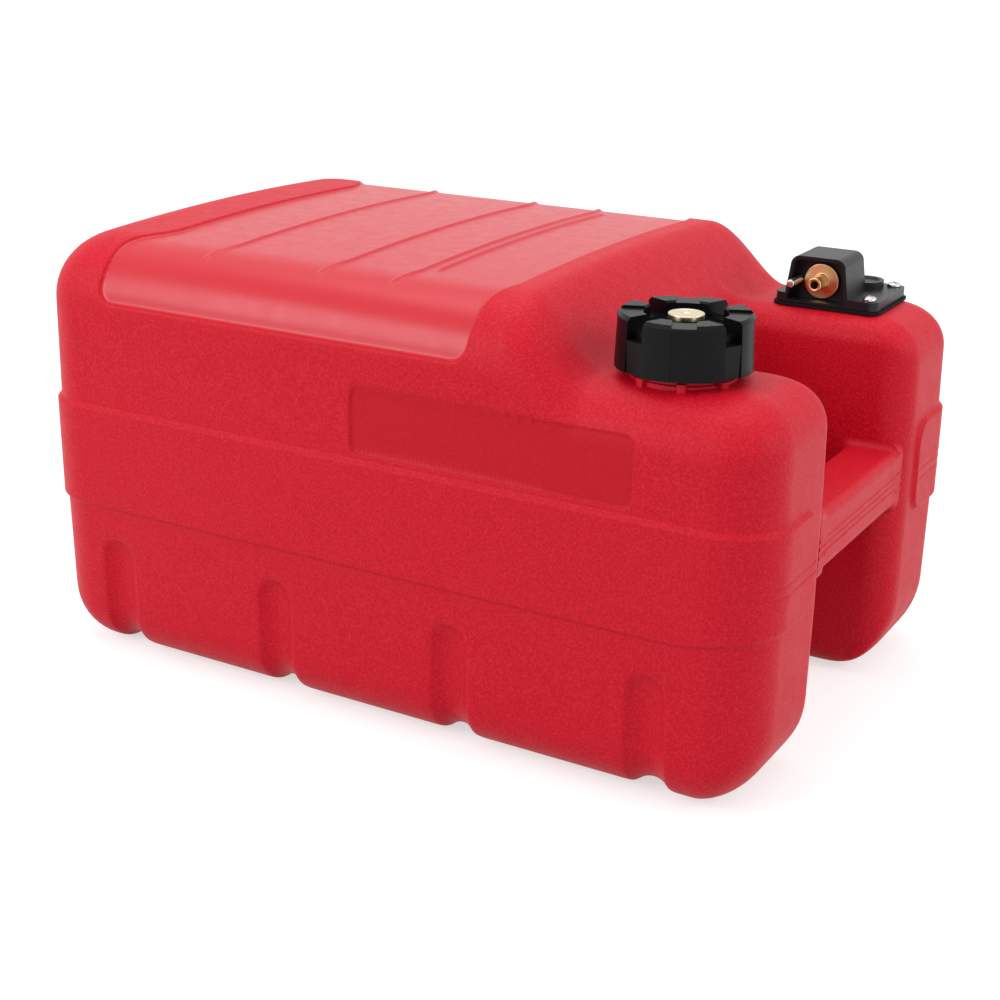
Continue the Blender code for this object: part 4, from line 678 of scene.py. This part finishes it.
plate_corners = [[m + way * h for m, h in zip(PLATE_MID, PLATE_HALF)] for way in (-1, 1)]
plate_outline = rounded_box_outline(*plate_corners, PLATE_CORNER, 10)
housing = flat_prism("hose_fitting_housing", plate_outline, PLATE_LOW, PLATE_HIGH)
hood_view = hood_front_view(0, PLATE_LOW + OVERLAP)
mouth_view = hood_front_view(HOOD_WALL, PLATE_LOW + MOUTH_SILL)
combine(housing, flat_prism("hood", hood_view, HOOD_FRONT, HOOD_FRONT + HOOD_LONG, "XZ"), "UNION")
boss_high = PLATE_HIGH + BOSS_HIGH
boss_profile = [(0, PLATE_LOW + OVERLAP), (BOSS_R, PLATE_LOW + OVERLAP), (BOSS_R, boss_high),
                (DISH_R, boss_high), (DISH_R - 1 * MM, boss_high - DISH_DEEP), (0, boss_high - DISH_DEEP)]
combine(housing, lathe("boss", boss_profile, (*BOSS, 0), 64), "UNION")
for radius, low in ((SPIGOT_R, SPIGOT_LOW), (TAIL_R, TAIL_LOW)):
    combine(housing, rod("tail", radius, low, PLATE_LOW + 3 * MM, (HOOD_X, TAIL_Y, 0), 48), "UNION")
combine(housing, flat_prism("mouth", mouth_view, HOOD_FRONT - 6 * MM, MOUTH_BACK, "XZ"), "DIFFERENCE")
holes = (("flange_hole", FLANGE_HOLE_R, 0, 2 * MM, (HOOD_X, MOUTH_BACK - 1 * MM, OUTLET_Z), 64, "Y"),
         ("shank_hole", SHANK_HOLE_R, 0, SHANK_HOLE_LONG, (HOOD_X, MOUTH_BACK - 0.5 * MM, OUTLET_Z), 64, "Y"),
         ("passage", PASSAGE_R, 204 * MM, OUTLET_Z, (HOOD_X, TAIL_Y, 0), 32, "Z"),
         ("pin_hole", PIN_HOLE_R, 0, PIN_HOLE_LONG, (PIN_X, MOUTH_BACK - 0.5 * MM, OUTLET_Z), 32, "Y"))
for hole in holes:
    combine(housing, rod(*hole), "DIFFERENCE")
soften(housing, 0.8 * MM)
black_acetal = plain_material("satin_black_acetal", "1B1A1D", 0.36, grain=0.7 * MM, depth=0.03 * MM,
                              change=0.15, level=0.28)
housing.data.materials.append(black_acetal)
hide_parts("fitting_housing")
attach(housing, "tank")


# Hose nipple and pin. The nipple is turned from brass with a wide flange, the plated steel pin beside
# it lets the connector on one way round only. Both are pressed into the housing.
FLANGE_FRONT, FLANGE_OUT = 84.9 * MM, 11 * MM
NIPPLE_R, NIPPLE_BORE, NIPPLE_TIP = 4.5 * MM, 2.5 * MM, 72.1 * MM
SHANK_OUT, SHANK_END, FLANGE_BACK = 6 * MM, 97.2 * MM, MOUTH_BACK - 0.3 * MM
PIN_R, PIN_TIP, PIN_END = 2.4 * MM, 68 * MM, 95 * MM
nipple_profile = [(NIPPLE_BORE, NIPPLE_TIP), (NIPPLE_R, NIPPLE_TIP), (NIPPLE_R, FLANGE_FRONT),
                  (FLANGE_OUT, FLANGE_FRONT), (FLANGE_OUT, FLANGE_BACK), (SHANK_OUT, FLANGE_BACK),
                  (SHANK_OUT, SHANK_END), (NIPPLE_BORE, SHANK_END)]
nipple = lathe("hose_nipple", round_corners(nipple_profile, 0.7 * MM), (HOOD_X, 0, OUTLET_Z), 96, "Y")
pin_profile = [(0, PIN_TIP), (PIN_R, PIN_TIP), (PIN_R, PIN_END), (0, PIN_END)]
pin = lathe("steel_pin", round_corners(pin_profile, 0.9 * MM), (PIN_X, 0, OUTLET_Z), 48, "Y")


def turned_metal(name, hex_colour, roughness, centre, axis, ring=0.25 * MM):
    """Bare metal with the fine rings that a lathe tool leaves round the axis."""
    mat = plain_material(name, hex_colour, roughness, 1.0, grain=2 * MM, depth=0.01 * MM, change=0.06)
    tree = mat.node_tree
    place = add_node(tree, "TexCoord").outputs["Object"]
    shift = add_node(tree, "Mapping", {"Location": [-c for c in centre]}, {0: place})
    scale = [1, 1, 1]
    scale["XYZ".index(axis)] = 0
    flat = add_node(tree, "VectorMath", {"operation": "MULTIPLY"}, {0: shift.outputs[0]})
    flat.inputs[1].default_value = scale
    far = add_node(tree, "VectorMath", {"operation": "LENGTH"}, {0: flat.outputs[0]})
    rings = add_node(tree, "Math", {"operation": "MULTIPLY", 1: 2 * math.pi / ring},
                     {0: far.outputs["Value"]})
    wave = add_node(tree, "Math", {"operation": "SINE"}, {0: rings.outputs[0]})
    bump = add_node(tree, "Bump", {"Strength": 0.25, "Distance": 0.01 * MM}, {"Height": wave.outputs[0]})
    tree.links.new(bump.outputs[0], tree.nodes["Principled BSDF"].inputs["Normal"])
    return mat


nipple.data.materials.append(turned_metal("turned_brass_nipple", "E0BC8A", 0.33, (HOOD_X, 0, OUTLET_Z), "Y"))
pin.data.materials.append(turned_metal("nickel_plated_pin", "DCDBD8", 0.3, (PIN_X, 0, OUTLET_Z), "Y"))
for piece, node, slot in ((nipple, "outlet_nipple", "brass"), (pin, "locating_pin", "plated_steel")):
    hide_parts(node)
    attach(piece, "tank")


# Plate screws. Three pan heads with a cross drive, in bright zinc-plated steel, through the plate into
# the deck's inserts. Each head stands 0.3 mm clear of the plate.
SCREW_R, SCREW_HIGH, DRIVE_LONG, DRIVE_WIDE, DRIVE_DEEP = 4.2 * MM, 2.6 * MM, 4.6 * MM, 1 * MM, 1.3 * MM
SCREW_SHANK_R, SCREW_TIP, SCREW_GAP = 2.3 * MM, 223 * MM, 0.3 * MM
SCREW_OUT_X, SCREW_OUT_Y = 26.1 * MM, 22.8 * MM
SCREWS = [(PLATE_MID[0] + way_x * SCREW_OUT_X, PLATE_MID[1] + way_y * SCREW_OUT_Y)
          for way_x, way_y in ((1, -1), (1, 1), (-1, 1))]
bright_steel = plain_material("bright_zinc_plated_steel", "CFD0D2", 0.16, 1.0, grain=1.5 * MM,
                              depth=0.005 * MM, change=0.05)
for k, (x, y) in enumerate(SCREWS, 1):
    head_z = PLATE_HIGH + SCREW_GAP
    dome = [(SCREW_R * math.cos(a), head_z + SCREW_HIGH * (1 + 2 * math.sin(a)) / 3)
            for a in (math.pi / 2 * j / 12 for j in range(12))]
    profile = [(0, SCREW_TIP), (SCREW_SHANK_R, SCREW_TIP), (SCREW_SHANK_R, head_z), (SCREW_R, head_z),
               *dome, (0, head_z + SCREW_HIGH)]
    head = lathe("plate_screw_head_%d" % k, profile, (x, y, 0), 48)
    arm, side = DRIVE_LONG / 2, DRIVE_WIDE / 2
    cross = [(arm, -side), (arm, side), (side, side), (side, arm), (-side, arm), (-side, side),
             (-arm, side), (-arm, -side), (-side, -side), (-side, -arm), (side, -arm), (side, -side)]
    turn = Matrix.Rotation(math.radians(17 * k), 2)
    cross = [turn @ Vector(p) + Vector((x, y)) for p in cross]
    drive_foot = head_z + SCREW_HIGH - DRIVE_DEEP
    combine(head, flat_prism("drive", cross, drive_foot, head_z + 2 * SCREW_HIGH), "DIFFERENCE")
    soften(head, 0.12 * MM, 2)
    head.data.materials.append(bright_steel)
    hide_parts("plate_screw_%d" % k)
    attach(head, "tank")


# Screw cap. Black polypropylene with four grip lobes round a dished top, a skirt over the neck, a
# rubber ring against the neck's rim and a brass bush moulded into its middle for the vent screw.
CAP_LOW, CAP_HIGH, CAP_R, CAP_TOP_R = 235.6 * MM, 265 * MM, 37.3 * MM, 36.3 * MM
CAP_BORE, CAP_CEILING, CAP_HUB_R = 29.3 * MM, 252.5 * MM, 9.5 * MM
CAP_FLOOR, CAP_DISH_R, CAP_CHAMFER = 256.5 * MM, 22.5 * MM, 2 * MM
GAP_HALF, GAP_STEP_R, GAP_FLAT_R, GAP_STEP_Z, GAP_SILL_Z = 5.75 * MM, 31 * MM, 36 * MM, 253.2 * MM, 257.3 * MM
CAP_TURN, FACET_HALF, FACET_DEEP, DIP_DEEP = math.radians(22.5 - 90), 6.4 * MM, 1.1 * MM, 1.3 * MM
CAP_THREAD_PROUD, CAP_THREAD_WIDTH = 1.2 * MM, 2.4 * MM
BUSH_R, BUSH_BORE, BUSH_FLANGE_R, BUSH_FIT = 5.6 * MM, 3.3 * MM, 8.6 * MM, 0.3 * MM
BUSH_LOW, BUSH_SEAT, BUSH_TOP = 246.5 * MM, 256.8 * MM, 258.8 * MM
cap_profile = [(CAP_BORE, CAP_LOW), (CAP_R, CAP_LOW), (CAP_TOP_R, CAP_HIGH - CAP_CHAMFER),
               (CAP_TOP_R - CAP_CHAMFER, CAP_HIGH), (CAP_DISH_R + CAP_CHAMFER / 2, CAP_HIGH),
               (CAP_DISH_R, CAP_HIGH - CAP_CHAMFER / 2), (CAP_DISH_R, CAP_FLOOR),
               (BUSH_R + BUSH_FIT, CAP_FLOOR), (BUSH_R + BUSH_FIT, BUSH_LOW), (CAP_HUB_R, BUSH_LOW),
               (CAP_HUB_R, CAP_CEILING), (CAP_BORE, CAP_CEILING)]
cap = lathe("screw_cap", cap_profile, (0, 0, 0), 144)
for k in range(4):
    lobe = Matrix.Rotation(math.pi / 2 * k + CAP_TURN, 4, "Z")
    outline = [(CAP_DISH_R - 3 * MM, GAP_SILL_Z), (GAP_STEP_R, GAP_SILL_Z), (GAP_STEP_R, GAP_STEP_Z),
               (GAP_FLAT_R, GAP_STEP_Z), (GAP_FLAT_R, CAP_LOW - MM), (CAP_R + 3 * MM, CAP_LOW - MM),
               (CAP_R + 3 * MM, CAP_HIGH + MM), (CAP_DISH_R - 3 * MM, CAP_HIGH + MM)]
    gap = flat_prism("gap", outline, -GAP_HALF, GAP_HALF, "XZ")
    gap.data.transform(lobe @ Matrix.Rotation(math.pi / 4, 4, "Z"))
    combine(cap, gap, "DIFFERENCE")
    facet_ends = ((CAP_R, CAP_LOW - MM), (CAP_TOP_R, CAP_HIGH - CAP_CHAMFER - 1.5 * MM))
    facet = loft("facet", [[(r - FACET_DEEP, -FACET_HALF, z), (CAP_R + 3 * MM, -FACET_HALF, z),
                            (CAP_R + 3 * MM, FACET_HALF, z), (r - FACET_DEEP, FACET_HALF, z)]
                           for r, z in facet_ends])
    facet.data.transform(lobe)
    combine(cap, facet, "DIFFERENCE")
    dip = flat_prism("dip", [(CAP_DISH_R - 3 * MM, -FACET_HALF), (CAP_R + 3 * MM, -FACET_HALF),
                             (CAP_R + 3 * MM, FACET_HALF), (CAP_DISH_R - 3 * MM, FACET_HALF)],
                     CAP_HIGH - DIP_DEEP, CAP_HIGH + MM)
    dip.data.transform(lobe)
    combine(cap, dip, "DIFFERENCE")
cap.data.transform(Matrix.Translation((*NECK, 0)))
soften(cap, 0.6 * MM, 3, 25)
cap_thread = thread("cap_thread", NECK, CAP_BORE, CAP_THREAD_PROUD, CAP_LOW + 3 * MM, CAP_CEILING - 4 * MM,
                    THREAD_PITCH, CAP_THREAD_WIDTH, inward=True)
bush_profile = [(BUSH_BORE, BUSH_LOW), (BUSH_R, BUSH_LOW), (BUSH_R, BUSH_SEAT), (BUSH_FLANGE_R, BUSH_SEAT),
                (BUSH_FLANGE_R, BUSH_TOP), (BUSH_BORE, BUSH_TOP)]
bush = lathe("vent_bush_brass", round_corners(bush_profile, 0.4 * MM), (*NECK, 0), 64)
black_pp = plain_material("satin_black_polypropylene", "0B0A0C", 0.34, grain=0.6 * MM, depth=0.03 * MM,
                          change=0.15, level=0.13)
for piece in (cap, cap_thread):
    piece.data.materials.append(black_pp)
    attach(piece, "cap")
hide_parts("filler_cap")
bush.data.materials.append(turned_metal("turned_brass_bush", "B8945C", 0.3, (*NECK, 0), "Z"))
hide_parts("vent_bush")
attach(bush, "cap")
give("cap_gasket", rubber)
give("vent_seal", rubber)


# Vent screw. Turned brass, with a wide flat head for the fingers, a dimple in its middle and a stem
# that closes the air hole through the bush.
HEAD_LOW, HEAD_HIGH, HEAD_R, STEM_R, STEM_LOW = 260.6 * MM, 263.8 * MM, 9.7 * MM, 3 * MM, 249.6 * MM
vent_profile = [(0, STEM_LOW), (STEM_R, STEM_LOW), (STEM_R, HEAD_LOW), (HEAD_R, HEAD_LOW),
                (HEAD_R, HEAD_HIGH), (HEAD_R - 1.4 * MM, HEAD_HIGH), (HEAD_R - 2 * MM, HEAD_HIGH - 0.3 * MM),
                (3.2 * MM, HEAD_HIGH - 0.3 * MM), (2 * MM, HEAD_HIGH - 0.9 * MM), (0, HEAD_HIGH - MM)]
vent = lathe("vent_finger_screw", round_corners(vent_profile, 0.5 * MM), (*NECK, 0), 96)
vent.data.materials.append(turned_metal("turned_brass_vent", "E4D2B2", 0.3, (*NECK, 0), "Z", 0.5 * MM))
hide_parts("vent_screw")
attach(vent, "vent")


# Studio. A white floor under a white sky, soft lamps, and the camera of the photograph. The camera and
# reflections see the floor and the sky as white, while the object's shadow stays on the floor.
def seen_directly(tree, low, high):
    """high for camera, glossy and transmission rays, and low for the light that they give."""
    path = add_node(tree, "LightPath")
    direct = path.outputs["Is Camera Ray"]
    for ray in ("Is Glossy Ray", "Is Transmission Ray"):
        both = add_node(tree, "Math", {"operation": "MAXIMUM"}, {0: direct, 1: path.outputs[ray]})
        direct = both.outputs[0]
    return add_node(tree, "MapRange", {3: low, 4: high}, {0: direct}).outputs[0]


white = bpy.data.materials.new("matt_white_floor_paint")
white.use_nodes = True
paint = white.node_tree.nodes["Principled BSDF"]
paint.inputs["Base Color"].default_value = linear("C8C8C8")
paint.inputs["Roughness"].default_value = 0.9
paint.inputs["Emission Color"].default_value = (1, 1, 1, 1)
white.node_tree.links.new(seen_directly(white.node_tree, 0.0, 0.6), paint.inputs["Emission Strength"])
floor_bm = bmesh.new()
bmesh.ops.create_grid(floor_bm, x_segments=1, y_segments=1, size=8)
floor = link_mesh("studio_floor", floor_bm)
floor.location.z = -0.2 * MM
floor.data.materials.append(white)

world = bpy.data.worlds.new("studio")
bpy.context.scene.world = world
world.use_nodes = True
sky = world.node_tree
sky.nodes["Background"].inputs["Color"].default_value = (1, 1, 1, 1)
sky.links.new(seen_directly(sky, 0.78, 1.0), sky.nodes["Background"].inputs["Strength"])


def soft_lamp(name, place, aim, size, watts):
    data = bpy.data.lights.new(name, "AREA")
    data.shape, data.size, data.size_y, data.energy = "RECTANGLE", size[0], size[1], watts
    lamp = bpy.data.objects.new(name, data)
    lamp.location = place
    lamp.rotation_euler = (Vector(aim) - Vector(place)).to_track_quat("-Z", "Y").to_euler()
    bpy.context.scene.collection.objects.link(lamp)


soft_lamp("key_softbox", (-0.78, -1.3, 0.93), (-0.05, -0.14, 0.24), (0.95, 0.75), 8.8)
soft_lamp("overhead_softbox", (-0.2, 0.1, 1.7), (-0.1, 0, 0.2), (1.4, 1.2), 9)
soft_lamp("end_softbox", (1.6, 0.2, 0.9), (0.1, 0, 0.12), (0.9, 0.9), 6)

AZIMUTH, ELEVATION, ROLL = math.radians(31.06), math.radians(19.66), math.radians(0.4)
EYE, FOCAL_PIXELS, SHIFT = (0.5395, -0.9317, 0.4834), 1750.57, (0.03188, -0.00734)
SENSOR, PICTURE_PIXELS = 36, 1000
level = math.cos(ELEVATION)
back = Vector((math.sin(AZIMUTH) * level, -math.cos(AZIMUTH) * level, math.sin(ELEVATION)))
right = Vector((math.cos(AZIMUTH), math.sin(AZIMUTH), 0))
up = back.cross(right)
lean, tip = math.cos(ROLL), math.sin(ROLL)
right, up = lean * right + tip * up, lean * up - tip * right
camera_data = bpy.data.cameras.new("studio_camera")
camera = bpy.data.objects.new("studio_camera", camera_data)
bpy.context.scene.collection.objects.link(camera)
camera.matrix_world = Matrix((right, up, back)).transposed().to_4x4()
camera.location = EYE
camera_data.sensor_width = SENSOR
camera_data.lens = FOCAL_PIXELS / PICTURE_PIXELS * SENSOR
camera_data.shift_x, camera_data.shift_y = SHIFT
bpy.context.scene.camera = camera
bpy.context.scene.view_settings.view_transform = "Standard"
